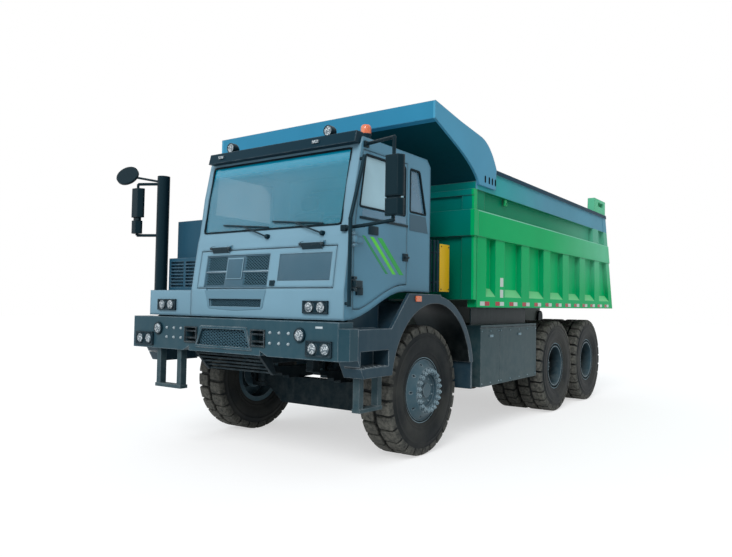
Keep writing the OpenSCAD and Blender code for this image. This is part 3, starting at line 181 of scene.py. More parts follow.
wear_dust_and_highlight, given, result = shader_group(
    "wear_dust_and_highlight",
    [("Paint", "Color", (0.5, 0.5, 0.5, 1)), ("Dust Color", "Color", srgb(128, 134, 132)),
     ("Chip And Highlight Color", "Color", srgb(150, 160, 166)), ("Dust", "Float", 0.3), ("Wear And Highlight", "Float", 0.3),
     ("Gloss", "Float", 0.35)],
    [("Color", "Color"), ("Roughness", "Float"), ("Height", "Float")])
tree = wear_dust_and_highlight
place = place_on(tree)
stretched = wire(tree, "Mapping", {"Vector": place, "Scale": (6.0, 6.0, 0.5)}).outputs[0]
broad = noise(tree, place, 0.8, 3.0)
fine = noise(tree, place, 8.0, 8.0, 0.65)
streaks = noise(tree, stretched, 1.6, 5.0)
normal = wire(tree, "NewGeometry").outputs["Normal"]
facing_up = ramp(tree, split(tree, normal)[2], 0.5, 0.95)
near_road = ramp(tree, split(tree, place)[2], 1.9, 0.2)
settled = maths(tree, "ADD", times(tree, near_road, 0.6), times(tree, facing_up, 0.7))
settled = times(tree, settled, ramp(tree, fine, 0.36, 0.7))
settled = maths(tree, "ADD", settled, times(tree, ramp(tree, streaks, 0.5, 0.8), 0.2))
dust_mask = times(tree, settled, given["Dust"], clamp=True)
# Every rounded edge always takes part of the chip colour, a painted highlight along the edge, and noise adds real
# chips on top; a high wear value makes these painted edge highlights bright.
rounded_normal = wire(tree, "Bevel", {"Radius": 0.016}, samples=4).outputs[0]
bend = wire(tree, "VectorMath", {0: rounded_normal, 1: normal}, operation="DOT_PRODUCT").outputs["Value"]
chips_and_edge_highlight = times(tree, ramp(tree, bend, 0.985, 0.88), ramp(tree, fine, 0.42, 0.6, 0.35, 1.0))
chip_and_highlight_mask = times(tree, chips_and_edge_highlight, given["Wear And Highlight"], clamp=True)
tone = wire(tree, "HueSaturation", {"Value": ramp(tree, broad, 0.3, 0.7, 0.92, 1.08), "Color": given["Paint"]})
coated = blend(tree, chip_and_highlight_mask, tone.outputs[0], given["Chip And Highlight Color"])
dulled = wire(tree, "Math", {0: dust_mask, 1: 0.4, 2: given["Gloss"]}, operation="MULTIPLY_ADD").outputs[0]
orange_peel = times(tree, noise(tree, place, 160.0, 2.0), 0.25)
tree.links.new(blend(tree, dust_mask, coated, given["Dust Color"]), result["Color"])
tree.links.new(dulled, result["Roughness"])
tree.links.new(maths(tree, "ADD", orange_peel, dust_mask), result["Height"])


def surface(tree, values):
    """Ends a material with one surface."""
    wire(tree, "OutputMaterial", {"Surface": wire(tree, "BsdfPrincipled", values).outputs[0]})


def painted_steel(name, colour, dust=0.35, wear_and_highlight=0.3, gloss=0.34, coat=0.0, bump=0.06, metal=0.0, shine=0.2,
                  sheen=(0.45, 0.85, 1.0, 1.0), rounding=0.008):
    """Sprayed steel: its colour or what makes it, how dusty and chipped it is and how bright the painted highlight
    along its edges is, how glossy it is, the strength and tint of its shine, and how round its edges look."""
    material, tree = empty_material(name)
    aged = wire(tree, "Group", {"Paint": colour(tree) if callable(colour) else colour, "Dust": dust, "Wear And Highlight": wear_and_highlight,
                                "Gloss": gloss}, node_tree=wear_dust_and_highlight).outputs
    soft_edge = wire(tree, "Bevel", {"Radius": rounding}, samples=4).outputs[0]
    relief = wire(tree, "Bump", {"Strength": bump, "Distance": 0.002, "Height": aged["Height"], "Normal": soft_edge})
    surface(tree, {
        "Base Color": aged["Color"], "Roughness": aged["Roughness"], "Normal": relief.outputs[0], "Metallic": metal,
        "Specular IOR Level": shine, "Specular Tint": sheen, "Coat Weight": coat, "Coat Roughness": 0.08,
        "Coat Tint": sheen})
    return material


def finish_nodes(material, slot, *names):
    """Gives CAD nodes their finish."""
    for name in names:
        mesh = nodes[name].data
        mesh.materials.clear()
        mesh.materials.append(material)


chassis_paint = painted_steel("chassis_paint", srgb(13, 26, 33), dust=0.3, wear_and_highlight=0.2, gloss=0.5, shine=0.12)
finish_nodes(chassis_paint, "black_chassis_paint", "frame", "front_axle", "drive_axles", "springs", "driveline",
             "left_knuckle", "right_knuckle", "skid_plate")

# Rims: rolled steel bands with a pressed disc and a cast hub in dark slate. A ring of hex nuts on studs
# holds each hub, round a turned cap with its own small screws.
WHEELS = ("front_left", "front_right", "mid_left", "mid_right", "rear_left", "rear_right")
FRONT_TRACK, REAR_TRACK = 1.325, 1.415
NUT_COUNT, CAP_SCREWS = 20, 8
HUB_FACE_REAR, FLANGE_FACE = -0.179, 0.1708
GROOVE_IN, GROOVE_OUT = 0.3525, 0.376


def over(tree, value, line):
    return maths(tree, "GREATER_THAN", value, line)


def rim_colours(tree):
    """Slate on the face, with painted shade darkening it deep in the dishes of the twins."""
    x, y, _ = split(tree, place_on(tree))
    clear_of_shade = ramp(tree, maths(tree, "ABSOLUTE", y), 1.40, 1.59)
    return blend(tree, maths(tree, "MAXIMUM", clear_of_shade, over(tree, x, 1.0)), srgb(8, 16, 20), srgb(56, 79, 90))


finish_nodes(painted_steel("rim_paint", rim_colours, dust=0.36, wear_and_highlight=0.9, gloss=0.36, shine=0.3), "rim_paint",
             *(w + "_rim" for w in WHEELS))


def piece(name, bm, material, body="chassis", crease=35.0):
    """Makes an object of a bmesh, gives it its finish and sets it on its body."""
    mesh = bpy.data.meshes.new(name)
    bmesh.ops.recalc_face_normals(bm, faces=bm.faces)
    bm.to_mesh(mesh)
    bm.free()
    mesh.polygons.foreach_set("use_smooth", [True] * len(mesh.polygons))
    mesh.set_sharp_from_angle(angle=math.radians(crease))
    mesh.materials.append(material)
    made = bpy.data.objects.new(name, mesh)
    scene.collection.objects.link(made)
    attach(made, body)
    return made


def join_rings(bm, rings):
    """Skins a row of rings, each a loop of points or a single point."""
    steps = max(len(ring) for ring in rings)
    for low, high in zip(rings, rings[1:]):
        for k in range(steps):
            n = (k + 1) % steps
            bm.faces.new((low if len(low) == 1 else [low[k], low[n]]) +
                         (high if len(high) == 1 else [high[n], high[k]]))


def circle(radius, steps, rise=0.0):
    turns = (2 * math.pi * k / steps for k in range(steps))
    return [Vector((radius * math.cos(turn), radius * math.sin(turn), rise)) for turn in turns]


def add_turned(bm, profile, steps, place):
    """Turned form from (radius, height) pairs about its own z axis, put in place by a matrix."""
    join_rings(bm, [[bm.verts.new(place @ at) for at in circle(radius, steps if radius else 1, rise)]
                    for radius, rise in profile])


def nut_profile(radius, tall):
    return [(radius * r, tall * t) for r, t in (
        (1.25, 0.0), (1.25, 0.12), (1.0, 0.14), (1.0, 0.8), (0.82, 0.88), (0.5, 0.9), (0.5, 1.25), (0.0, 1.3))]


def outward(x, y, z, side):
    """Place at a point, its own z axis pointing out to the truck's side."""
    return Matrix.Translation((x, y, z)) @ Matrix.Rotation(math.radians(-90 * side), 4, "X")


nut_steel = painted_steel("nut_steel", srgb(112, 134, 144), dust=0.3, wear_and_highlight=0.8, gloss=0.35, metal=0.3, rounding=0.003)
# Black for the painted shade in each rim's groove.
groove_shade = painted_steel("groove_shade", srgb(6, 14, 18), dust=0.15, wear_and_highlight=0.0, gloss=0.8, shine=0.1)
for wheel in WHEELS:
    low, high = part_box(wheel + "_rim")
    side = 1 if "left" in wheel else -1
    axle_x, axle_z = (low[0] + high[0]) / 2, (low[2] + high[2]) / 2
    if "front" in wheel:
        track, groove_in, face = FRONT_TRACK, GROOVE_IN, max(high[1], -low[1])
        nuts, screws = (0.225, face, 0.027, 0.036), (0.135, face - 0.042, 0.011, 0.016)
    else:
        track, groove_in, face = REAR_TRACK, GROOVE_IN - 0.022, REAR_TRACK + HUB_FACE_REAR
        nuts, screws = (0.152, face, 0.021, 0.034), (0.085, REAR_TRACK + 0.03, 0.011, 0.016)
    hub = bmesh.new()
    for count, (ring, out, radius, tall) in ((NUT_COUNT, nuts), (CAP_SCREWS, screws)):
        for k in range(count):
            angle = 2 * math.pi * (k + 0.5) / count
            at = outward(axle_x + ring * math.cos(angle), side * (out - 0.002), axle_z + ring * math.sin(angle), side)
            add_turned(hub, nut_profile(radius, tall), 6, at)
    # A thin ring of bright nut steel at the flange's edge is a painted highlight, and the black ring inside it is
    # painted shade standing for the groove.
    flange = outward(axle_x, side * (track + FLANGE_FACE), axle_z, side)
    add_turned(hub, [(0.366, -0.001), (0.368, 0.002), (0.376, 0.002), (0.3775, -0.001)], 72, flange)
    piece(wheel + "_nuts", hub, nut_steel, wheel + "_wheel")
    groove = bmesh.new()
    add_turned(groove, [(groove_in, -0.001), (groove_in + 0.002, 0.0015), (GROOVE_OUT - 0.006, 0.0015),
                        (GROOVE_OUT - 0.004, -0.001)], 72, flange)
    piece(wheel + "_groove", groove, groove_shade, wheel + "_wheel")

# Tyres: deep off-road covers, moulded rubber with two staggered rows of tread blocks that run over the
# shoulders, and fine rings on the side walls. Grey-brown dust lies on the blocks and in the rings.
TYRE_R, DUAL_PITCH = 0.745, 0.478
BLOCKS, BLOCK_SHARE, BLOCK_SLANT, WALL_STEPS = 26, 0.405, 0.10, 104
WALL_PROFILE = (
    (0.3305, 0.1545), (0.392, 0.1545), (0.3925, 0.172), (0.377, 0.1735), (0.378, 0.178), (0.392, 0.1835),
    (0.412, 0.1815), (0.430, 0.188), (0.436, 0.1925), (0.442, 0.191), (0.470, 0.2035), (0.505, 0.2125),
    (0.540, 0.2145), (0.575, 0.2130), (0.598, 0.2100), (0.602, 0.2125), (0.610, 0.2122), (0.614, 0.2080),
    (0.650, 0.2030), (0.682, 0.1960), (0.700, 0.1860), (0.706, 0.1500), (0.707, 0.0))
BLOCK_PROFILE = ((0.700, 0.012, 0.3), (0.737, 0.014, 0.9), (0.7435, 0.021, 1.0), (0.7435, 0.176, 1.0),
                 (0.734, 0.192, 1.0), (0.700, 0.2035, 0.8), (0.664, 0.2085, 0.6), (0.655, 0.199, 0.3))
BLOCK_STATIONS = ((-1.0, -0.007), (-0.94, 0.0), (-0.3, 0.0), (0.3, 0.0), (0.94, 0.0), (1.0, -0.007))


def add_tyre(bm, dusty, x, y, z):
    """One cover about an axle: its turned carcass, then its blocks, with how dusty each point is."""
    def corner(radius, across, angle, dust):
        vert = bm.verts.new((x + radius * math.sin(angle), y + across, z + radius * math.cos(angle)))
        vert[dusty] = dust
        return vert

    section = [(r, -w) for r, w in WALL_PROFILE] + [(r, w) for r, w in reversed(WALL_PROFILE[:-1])]
    join_rings(bm, [[corner(r, w, 2 * math.pi * k / WALL_STEPS, 0.02 if r > 0.69 else 0.0) for k in range(WALL_STEPS)]
                    for r, w in section])
    pitch = 2 * math.pi / BLOCKS
    for row in (1, -1):
        for k in range(BLOCKS):
            middle = (k + 0.25 * row) * pitch
            stations = []
            for along, lower in BLOCK_STATIONS:
                station = []
                for radius, across, dust in BLOCK_PROFILE:
                    zigzag = 0.012 * abs(along) if across < 0.03 else 0.0
                    angle = middle + BLOCK_SHARE * pitch * along + BLOCK_SLANT * row * (across - 0.1)
                    tip = radius + (lower if radius > 0.73 else 0.0)
                    station.append(corner(tip, row * (across + zigzag), angle, dust))
                stations.append(station)
            for a, b in zip(stations, stations[1:]):
                for i in range(len(BLOCK_PROFILE) - 1):
                    bm.faces.new((a[i], a[i + 1], b[i + 1], b[i]))
            bm.faces.new(stations[0])
            bm.faces.new(list(reversed(stations[-1])))


tyre_rubber, tree = empty_material("tyre_rubber")
place = place_on(tree)
grit = noise(tree, place, 22.0, 8.0, 0.7)
cloud = noise(tree, place, 2.2, 4.0)
tread = wire(tree, "Attribute", attribute_name="dusty").outputs["Fac"]
on_tread = times(tree, tread, ramp(tree, grit, 0.3, 0.62))
on_wall = times(tree, ramp(tree, cloud, 0.4, 0.75), 0.24)
dusted = maths(tree, "MAXIMUM", times(tree, on_tread, 0.85), on_wall, clamp=True)
surface(tree, {
    "Base Color": blend(tree, dusted, srgb(18, 24, 27), srgb(110, 109, 102)), "Specular IOR Level": 0.15,
    "Roughness": ramp(tree, dusted, 0.0, 1.0, 0.6, 0.9),
    "Normal": wire(tree, "Bump", {"Strength": 0.35, "Distance": 0.004, "Height": grit}).outputs[0]})
for wheel in WHEELS:
    low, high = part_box(wheel + "_tyre")
    side = 1 if "left" in wheel else -1
    outer_y = (FRONT_TRACK if "front" in wheel else REAR_TRACK) * side
    cover = bmesh.new()
    dusty = cover.verts.layers.float.new("dusty")
    for across in ((outer_y,) if "front" in wheel else (outer_y, outer_y - side * DUAL_PITCH)):
        add_tyre(cover, dusty, (low[0] + high[0]) / 2, across, TYRE_R)
    made = piece(wheel + "_cover", cover, tyre_rubber, wheel + "_wheel", crease=40.0)
    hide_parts(wheel + "_tyre")
    finish_nodes(tyre_rubber, "tyre_rubber", wheel + "_tyre")

# Bumper and skid plate: a folded box of thick plate with chamfered ends in dark slate, bolted to the
# rails by hex bolts. Mesh of crossed wires fills its grille, and black jaws line the tow pockets.
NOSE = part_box("bumper")[1][0] - 0.014
finish_nodes(painted_steel("dark_slate_paint", srgb(38, 66, 77), dust=0.24, wear_and_highlight=0.7, gloss=0.36, shine=0.16),
             "dark_slate_paint", "bumper")


def add_block(bm, low, high, bevel=0.004):
    """Box between two corners, its edges rounded."""
    made = bmesh.ops.create_cube(bm, size=1.0)["verts"]
    for vert in made:
        vert.co = [a + (c + 0.5) * (b - a) for a, b, c in zip(low, high, vert.co)]
    edges = list({edge_shade for vert in made for edge_shade in vert.link_edges})
    bmesh.ops.bevel(bm, geom=edges, offset=bevel, segments=2, profile=0.6, affect="EDGES", clamp_overlap=True)


def block_piece(name, blocks, material, body="chassis", bevel=0.004):
    """Piece made of boxes, each between two corners."""
    bm = bmesh.new()
    for low, high in blocks:
        add_block(bm, low, high, bevel)
    piece(name, bm, material, body)


def add_plate(bm, outline, spread, thick):
    """Flat plate from an outline of points, thickened along a vector and open at its back."""
    near = [bm.verts.new(Vector(p) + Vector(spread) * thick) for p in outline]
    far = [bm.verts.new(Vector(p)) for p in outline]
    bm.faces.new(near)
    for i in range(len(near)):
        n = (i + 1) % len(near)
        bm.faces.new((near[i], far[i], far[n], near[n]))


def ahead(x, y, z):
    """Place at a point, its own z axis pointing forward."""
    return Matrix.Translation((x, y, z)) @ Matrix.Rotation(math.radians(90), 4, "Y")


bolts = bmesh.new()
for side in (1, -1):
    for y in (0.955, 0.827, 0.701):
        for z in (1.425, 1.318):
            add_turned(bolts, nut_profile(0.014, 0.014), 6, ahead(NOSE, side * y, z))
bolt_steel = painted_steel("bolt_steel", srgb(170, 182, 188), dust=0.3, wear_and_highlight=0.3, gloss=0.35, metal=0.5)
piece("bumper_bolts", bolts, bolt_steel)


def clipped(outline, start, direction):
    """Stretch of a line that lies inside a convex outline, as two points, or nothing."""
    first, last = -9.0, 9.0
    for (ax, ay), (bx, by) in zip(outline, outline[1:] + outline[:1]):
        normal_y, normal_z = ay - by, bx - ax
        rate = normal_y * direction[0] + normal_z * direction[1]
        room = normal_y * (start[0] - ax) + normal_z * (start[1] - ay)
        if abs(rate) < 1e-9:
            if room < 0:
                return None
        elif rate > 0:
            first = max(first, -room / rate)
        else:
            last = min(last, -room / rate)
    if last - first < 0.004:
        return None
    return [(start[0] + t * direction[0], start[1] + t * direction[1]) for t in (first, last)]


def add_wires(bm, outline, back, front, pitch, gauge):
    """Crossed slanting wires that fill a convex outline in y and z, between two depths."""
    slope = math.radians(33)
    for turn in (1, -1):
        direction = (math.cos(slope), turn * math.sin(slope))
        dy, dz = -direction[1] * gauge / 2, direction[0] * gauge / 2
        for k in range(-90, 90):
            ends = clipped(outline, (0.0, 1.0 + k * pitch), direction)
            if ends:
                (ay, az), (by, bz) = ends
                corners = ((ay + dy, az + dz), (ay - dy, az - dz), (by - dy, bz - dz), (by + dy, bz + dz))
                add_plate(bm, [(back, y, z) for y, z in corners], (1, 0, 0), front - back)


def add_sheet(bm, outline, x):
    bm.faces.new([bm.verts.new((x, y, z)) for y, z in outline])


GRILLE = [(-0.413, 1.256), (0.413, 1.256), (0.332, 1.436), (-0.332, 1.436)]
STRIP = [(-0.415, 1.681), (0.385, 1.681), (0.400, 1.760), (-0.430, 1.760)]
CAB_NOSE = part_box("cab_shell")[1][0]
mesh_black = painted_steel("mesh_black", srgb(64, 94, 108), dust=0.06, wear_and_highlight=0.0, gloss=0.5, shine=0.1)
# shade_black is for painted shade: dark sheets put where there would only be shade, behind the meshes of the grilles,
# in the gaps under the cab's foot and in the canopy's slots.
shade_black = painted_steel("shade_black", srgb(5, 12, 16), dust=0.1, wear_and_highlight=0.0, gloss=0.8, shine=0.05)
wires = bmesh.new()
add_wires(wires, GRILLE, NOSE - 0.030, NOSE - 0.017, 0.034, 0.008)
add_wires(wires, STRIP, CAB_NOSE - 0.034, CAB_NOSE - 0.021, 0.026, 0.006)
grille_wires = piece("grille_wires", wires, mesh_black)
# A black sheet of painted shade behind the grille's wires.
grille_shade = bmesh.new()
add_sheet(grille_shade, GRILLE, NOSE - 0.045)
add_sheet(grille_shade, STRIP, CAB_NOSE - 0.055)
piece("grille_shade_sheet", grille_shade, shade_black)
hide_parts("front_grilles")
finish_nodes(chassis_paint, "black_chassis_paint", "front_grilles")

TOW_Y, TOW_Z, TOW_HALF_W, TOW_HALF_H, JAW = 0.527, 1.360, 0.092, 0.076, 0.014
JAW_BACK, JAW_FRONT = NOSE - 0.002, NOSE + 0.016
jaws = []
for y in (TOW_Y, -TOW_Y):
    for y0, y1 in ((-TOW_HALF_W - JAW, -TOW_HALF_W), (TOW_HALF_W, TOW_HALF_W + JAW)):
        jaws.append(((JAW_BACK, y + y0, TOW_Z - TOW_HALF_H - JAW), (JAW_FRONT, y + y1, TOW_Z + TOW_HALF_H + JAW)))
    for z0, z1 in ((-TOW_HALF_H - JAW, -TOW_HALF_H), (TOW_HALF_H, TOW_HALF_H + JAW)):
        jaws.append(((JAW_BACK, y - TOW_HALF_W, TOW_Z + z0), (JAW_FRONT, y + TOW_HALF_W, TOW_Z + z1)))
    for z in (TOW_Z - 0.045, TOW_Z + 0.03):
        jaws.append(((NOSE - 0.119, y - TOW_HALF_W, z), (NOSE - 0.006, y + TOW_HALF_W, z + 0.018)))
block_piece("tow_jaws", jaws, painted_steel("jaw_black", srgb(8, 18, 24), dust=0.15, wear_and_highlight=0.5, gloss=0.5, shine=0.12))

CAB_FOOT = 1.563
hood_low, hood_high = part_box("right_hood")
# Black strips of painted shade in the gaps under the foot of the cab and of the right hood, set back behind their
# fronts.
block_piece("cab_foot_shade", [
    ((nose - 0.16, y0, foot - 0.07), (nose - 0.12, y1, foot + 0.01)) for nose, y0, y1, foot in (
        (CAB_NOSE, -1.50, 1.45, CAB_FOOT), (hood_high[0], hood_low[1] + 0.03, hood_high[1], hood_low[2]))],
    shade_black, bevel=0.006)
block_piece("bumper_plate", [((NOSE - 0.001, 1.306, 1.484), (NOSE + 0.004, 1.398, 1.506))], bolt_steel,
            bevel=0.002)

# Fenders, ladders and side boxes: folded sheet in dark slate. The steps are checker plate, the boxes have
# bolted covers, and a square amber marker is screwed to each fender above the arch.
ARCH_X, ARCH_Z, ARCH_R = 2.625, 0.872, 0.873


def under(tree, value, line):
    return maths(tree, "LESS_THAN", value, line)


def facing(tree):
    """Parts of the direction that a surface faces."""
    return split(tree, wire(tree, "NewGeometry").outputs["Normal"])


def fender_colours(tree):
    """Dark slate, with black painted shade on the lining of the wheel arch."""
    x, _, z = split(tree, place_on(tree))
    squares = [maths(tree, "POWER", maths(tree, "SUBTRACT", at, middle), 2.0)
               for at, middle in ((x, ARCH_X), (z, ARCH_Z))]
    arch_shade = under(tree, maths(tree, "ADD", *squares), (ARCH_R + 0.006) ** 2)
    return blend(tree, arch_shade, srgb(32, 55, 68), srgb(4, 9, 12))


finish_nodes(painted_steel("fender_paint", fender_colours, dust=0.22, wear_and_highlight=0.9, shine=0.18, rounding=0.02),
             "dark_slate_paint", "fenders")
BOX_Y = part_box("side_boxes")[1][1]


def box_colours(tree):
    """Dark slate that is black in the seams, with black painted shade on the plates set back behind the covers."""
    behind = under(tree, maths(tree, "ABSOLUTE", split(tree, place_on(tree))[1]), BOX_Y - 0.003)
    seams_and_recess_shade = times(tree, behind, over(tree, maths(tree, "ABSOLUTE", facing(tree)[1]), 0.9))
    return blend(tree, seams_and_recess_shade, srgb(34, 59, 65), srgb(10, 20, 25))


finish_nodes(painted_steel("box_paint", box_colours, dust=0.5, wear_and_highlight=0.5, gloss=0.38, shine=0.15),
             "dark_slate_paint", "side_boxes")
finish_nodes(painted_steel("ladder_paint", srgb(40, 60, 67), dust=0.4, wear_and_highlight=0.4, gloss=0.4), "ladder_paint", "ladders")
FENDER_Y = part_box("fenders")[1][1]
treads = bmesh.new()
for side in (1, -1):
    for i in range(11):
        for j in range(4):
            x, y = 3.595 + i * 0.040, side * (FENDER_Y - 0.025 - j * 0.042)
            turn = Matrix.Rotation(math.radians(45 if (i + j) % 2 else -45), 4, "Z")
            spot = Matrix.Translation((x, y, 1.0975)) @ turn @ Matrix.Diagonal((1.0, 0.34, 1.0, 1.0))
            add_turned(treads, [(0.017, 0.0), (0.013, 0.003), (0.0, 0.004)], 8, spot)
piece("step_treads", treads, bolt_steel)

covers = bmesh.new()
for side in (1, -1):
    for x0, x1, count in ((-0.60, 0.66, 5), (0.74, 1.26, 3)):
        for x in numpy.linspace(x0, x1, count):
            for z in (0.69, 1.385):
                add_turned(covers, nut_profile(0.009, 0.01), 6, outward(x, side * (BOX_Y - 0.001), z, side))
    low_y, high_y = sorted((side * BOX_Y, side * (BOX_Y + 0.012)))
    for x in (0.02, 0.98):
        add_block(covers, (x - 0.05, low_y, 1.30), (x + 0.05, high_y, 1.335))
piece("box_fittings", covers, nut_steel)

MARKER = (2.955, 3.062, 1.762, 1.826)
amber, tree = empty_material("amber_lens")
ribs = wire(tree, "TexWave", {"Vector": place_on(tree), "Scale": 26.0}).outputs["Fac"]
surface(tree, {
    "Base Color": blend(tree, ribs, srgb(206, 84, 40), srgb(226, 120, 70)), "Roughness": 0.15, "Coat Weight": 0.5,
    "Normal": wire(tree, "Bump", {"Strength": 0.4, "Distance": 0.003, "Height": ribs}).outputs[0]})
markers = []
for side in (1, -1):
    low_y, high_y = sorted((side * FENDER_Y, side * (FENDER_Y + 0.018)))
    markers.append(((MARKER[0], low_y, MARKER[2]), (MARKER[1], high_y, MARKER[3])))
block_piece("fender_markers", markers, amber, bevel=0.006)

# Cab: a welded steel shell with its door, front hatch and the low hood on its right, all in glossy slate
# that has faded a little. Slanting green stripes cross the door, and blank panels fill the hatch.
CAB_SIDE = 1.523


def between(tree, value, low, high):
    return times(tree, over(tree, value, low), under(tree, value, high))


def cab_colours(tree):
    """Slate, with painted shade making it deeper on the faces that look sideways, and hinges and brackets that stand
    proud in black.
    """
    x, y, z = split(tree, place_on(tree))
    side_shade = ramp(tree, maths(tree, "ABSOLUTE", facing(tree)[1]), 0.5, 0.9)
    paint = blend(tree, side_shade, srgb(112, 146, 163), srgb(88, 134, 156))
    at_hatch = times(tree, between(tree, z, 2.255, 2.345), over(tree, x, CAB_NOSE - 0.052))
    at_door = times(tree, over(tree, y, CAB_SIDE + 0.004), under(tree, z, 2.1))
    return blend(tree, maths(tree, "MAXIMUM", at_hatch, at_door), paint, srgb(8, 32, 42))


finish_nodes(painted_steel("slate_paint", cab_colours, dust=0.1, wear_and_highlight=0.45, gloss=0.3, coat=0.06, rounding=0.045),
             "slate_paint", "cab_shell", "hatch", "right_hood", "door")
FRONT_HEIGHTS = (1.563, 1.862, 2.097, 2.417, 2.519, 2.935, 3.346, 3.426)
FRONT_SETBACK = (0.0, 0.0, 0.033, 0.081, 0.106, 0.159, 0.243, 0.273)


def cab_face(z):
    """How far forward the cab's front is at a height."""
    return CAB_NOSE - float(numpy.interp(z, FRONT_HEIGHTS, FRONT_SETBACK))


def lay_on_face(bm):
    """Moves points from depths in front of the cab's face to their places on its slope."""
    for vert in bm.verts:
        vert.co.x += cab_face(vert.co.z)


STRIPE_LOW, STRIPE_HIGH, STRIPE_LEAN = 2.05, 2.42, 0.42
for k, green in enumerate((srgb(20, 170, 50), srgb(96, 214, 40), srgb(10, 140, 70))):
    stripe = bmesh.new()
    x, wide = 3.10 + 0.15 * k, 0.085 - 0.018 * k
    add_plate(stripe, [(x, CAB_SIDE, STRIPE_LOW), (x + wide, CAB_SIDE, STRIPE_LOW),
                       (x + wide + STRIPE_LEAN, CAB_SIDE, STRIPE_HIGH), (x + STRIPE_LEAN, CAB_SIDE, STRIPE_HIGH)],
              (0, 1, 0), 0.0012)
    stripe_film = painted_steel(f"stripe_film_{k + 1}", green, dust=0.1, wear_and_highlight=0.1, gloss=0.25, coat=0.4)
    piece(f"door_stripe_{k + 1}", stripe, stripe_film, "door")

CELLS = [(y, z) for y in ((-0.515, -0.205), (0.092, 0.452)) for z in ((1.915, 2.050), (2.085, 2.235))]
hatch_mesh = bmesh.new()
# A black sheet of painted shade behind each cell of the hatch's wires.
hatch_shade_sheet = bmesh.new()
for (y0, y1), (z0, z1) in CELLS:
    rectangle = [(y0, z0), (y1, z0), (y1, z1), (y0, z1)]
    add_wires(hatch_mesh, rectangle, -0.028, -0.017, 0.030, 0.007)
    add_sheet(hatch_shade_sheet, rectangle, -0.0325)
lay_on_face(hatch_mesh)
lay_on_face(hatch_shade_sheet)
piece("hatch_wires", hatch_mesh, mesh_black, "hatch")
piece("hatch_shade_sheet", hatch_shade_sheet, shade_black, "hatch")

panel_grey = painted_steel("panel_grey", srgb(60, 88, 103), dust=0.12, wear_and_highlight=0.1, gloss=0.35, coat=0.1)


def hatch_blocks(name, rows, material):
    """Boxes laid on the hatch, from rows of depths, places across, heights and bevel."""
    bm = bmesh.new()
    for back, front, y0, y1, z0, z1, bevel in rows:
        add_block(bm, (back, y0, z0), (front, y1, z1), bevel)
    lay_on_face(bm)
    piece(name, bm, material, "hatch")


PANEL_BARS = ((-0.531, 0.469, 1.897, 1.915), (-0.531, 0.469, 2.050, 2.085), (-0.531, 0.469, 2.235, 2.251),
              (-0.531, -0.515, 1.915, 2.235), (-0.205, 0.092, 1.915, 2.235), (0.452, 0.469, 1.915, 2.235))
hatch_blocks("hatch_blank_panels", [
    (-0.0085, -0.004, 0.615, 1.320, 1.962, 2.239, 0.002), (-0.001, 0.006, -0.170, 0.057, 1.995, 2.208, 0.003),
    *((-0.014, -0.009, *bar, 0.001) for bar in PANEL_BARS)], panel_grey)
TRIM_BARS = ((-0.528, -0.182, 2.063, 2.071), (0.069, 0.466, 2.063, 2.071), (-0.182, -0.173, 1.983, 2.220),
             (0.060, 0.069, 1.983, 2.220), (-0.182, 0.069, 2.211, 2.220), (-0.182, 0.069, 1.983, 1.992))
hatch_blocks("hatch_trims", [(-0.012, -0.001, *bar, 0.002) for bar in TRIM_BARS],
             painted_steel("bright_metal", srgb(160, 178, 188), dust=0.12, wear_and_highlight=0.0, gloss=0.24, metal=0.8))
trim_black = painted_steel("trim_black", srgb(8, 32, 42), dust=0.06, wear_and_highlight=0.15, gloss=0.42, shine=0.15, rounding=0.012)
hatch_blocks("hatch_fittings", [(-0.002, 0.016, 0.515, 0.585, 1.905, 1.965, 0.006)], trim_black)

surround = bmesh.new()
for outline in ([(-0.505, 1.858), (0.465, 1.858), (0.438, 1.764), (-0.470, 1.764)],
                [(-0.470, 1.764), (-0.432, 1.764), (-0.417, 1.677), (-0.452, 1.677)],
                [(0.402, 1.764), (0.438, 1.764), (0.422, 1.677), (0.387, 1.677)],
                [(-0.452, 1.677), (0.422, 1.677), (0.400, 1.655), (-0.015, 1.636), (-0.430, 1.655)]):
    add_plate(surround, [(CAB_NOSE - 0.001, y, z) for y, z in outline], (1, 0, 0), 0.004)
deep_slate = painted_steel("deep_slate", srgb(94, 126, 142), dust=0.12, wear_and_highlight=0.1, gloss=0.32, coat=0.1)
piece("strip_surround", surround, deep_slate)

door_fittings = bmesh.new()
for x0, x1, inner, outer, z0, z1, bevel in (
        (3.020, 3.130, -0.002, 0.012, 2.205, 2.290, 0.01), (3.035, 3.118, 0.010, 0.040, 2.235, 2.260, 0.01),
        (3.030, 3.915, -0.001, 0.010, 2.585, 2.612, 0.004), (3.600, 3.765, -0.001, 0.014, 2.440, 2.532, 0.008),
        (3.860, 3.965, -0.001, 0.020, 1.815, 1.892, 0.008)):
    add_block(door_fittings, (x0, CAB_SIDE + inner, z0), (x1, CAB_SIDE + outer, z1), bevel)
piece("door_fittings", door_fittings, trim_black, body="door")
quarter_panel = bmesh.new()
add_plate(quarter_panel, [(2.600, CAB_SIDE, 2.560), (2.992, CAB_SIDE, 2.560), (2.992, CAB_SIDE, 2.745),
                          (2.652, CAB_SIDE, 2.745)], (0, 1, 0), 0.004)
piece("quarter_panel", quarter_panel, panel_grey)

# Glass: laminated panes with a green-blue tint, darker in a band along the top of the windscreen, held in
# black rubber gaskets. Two wipers park along the foot of the windscreen.


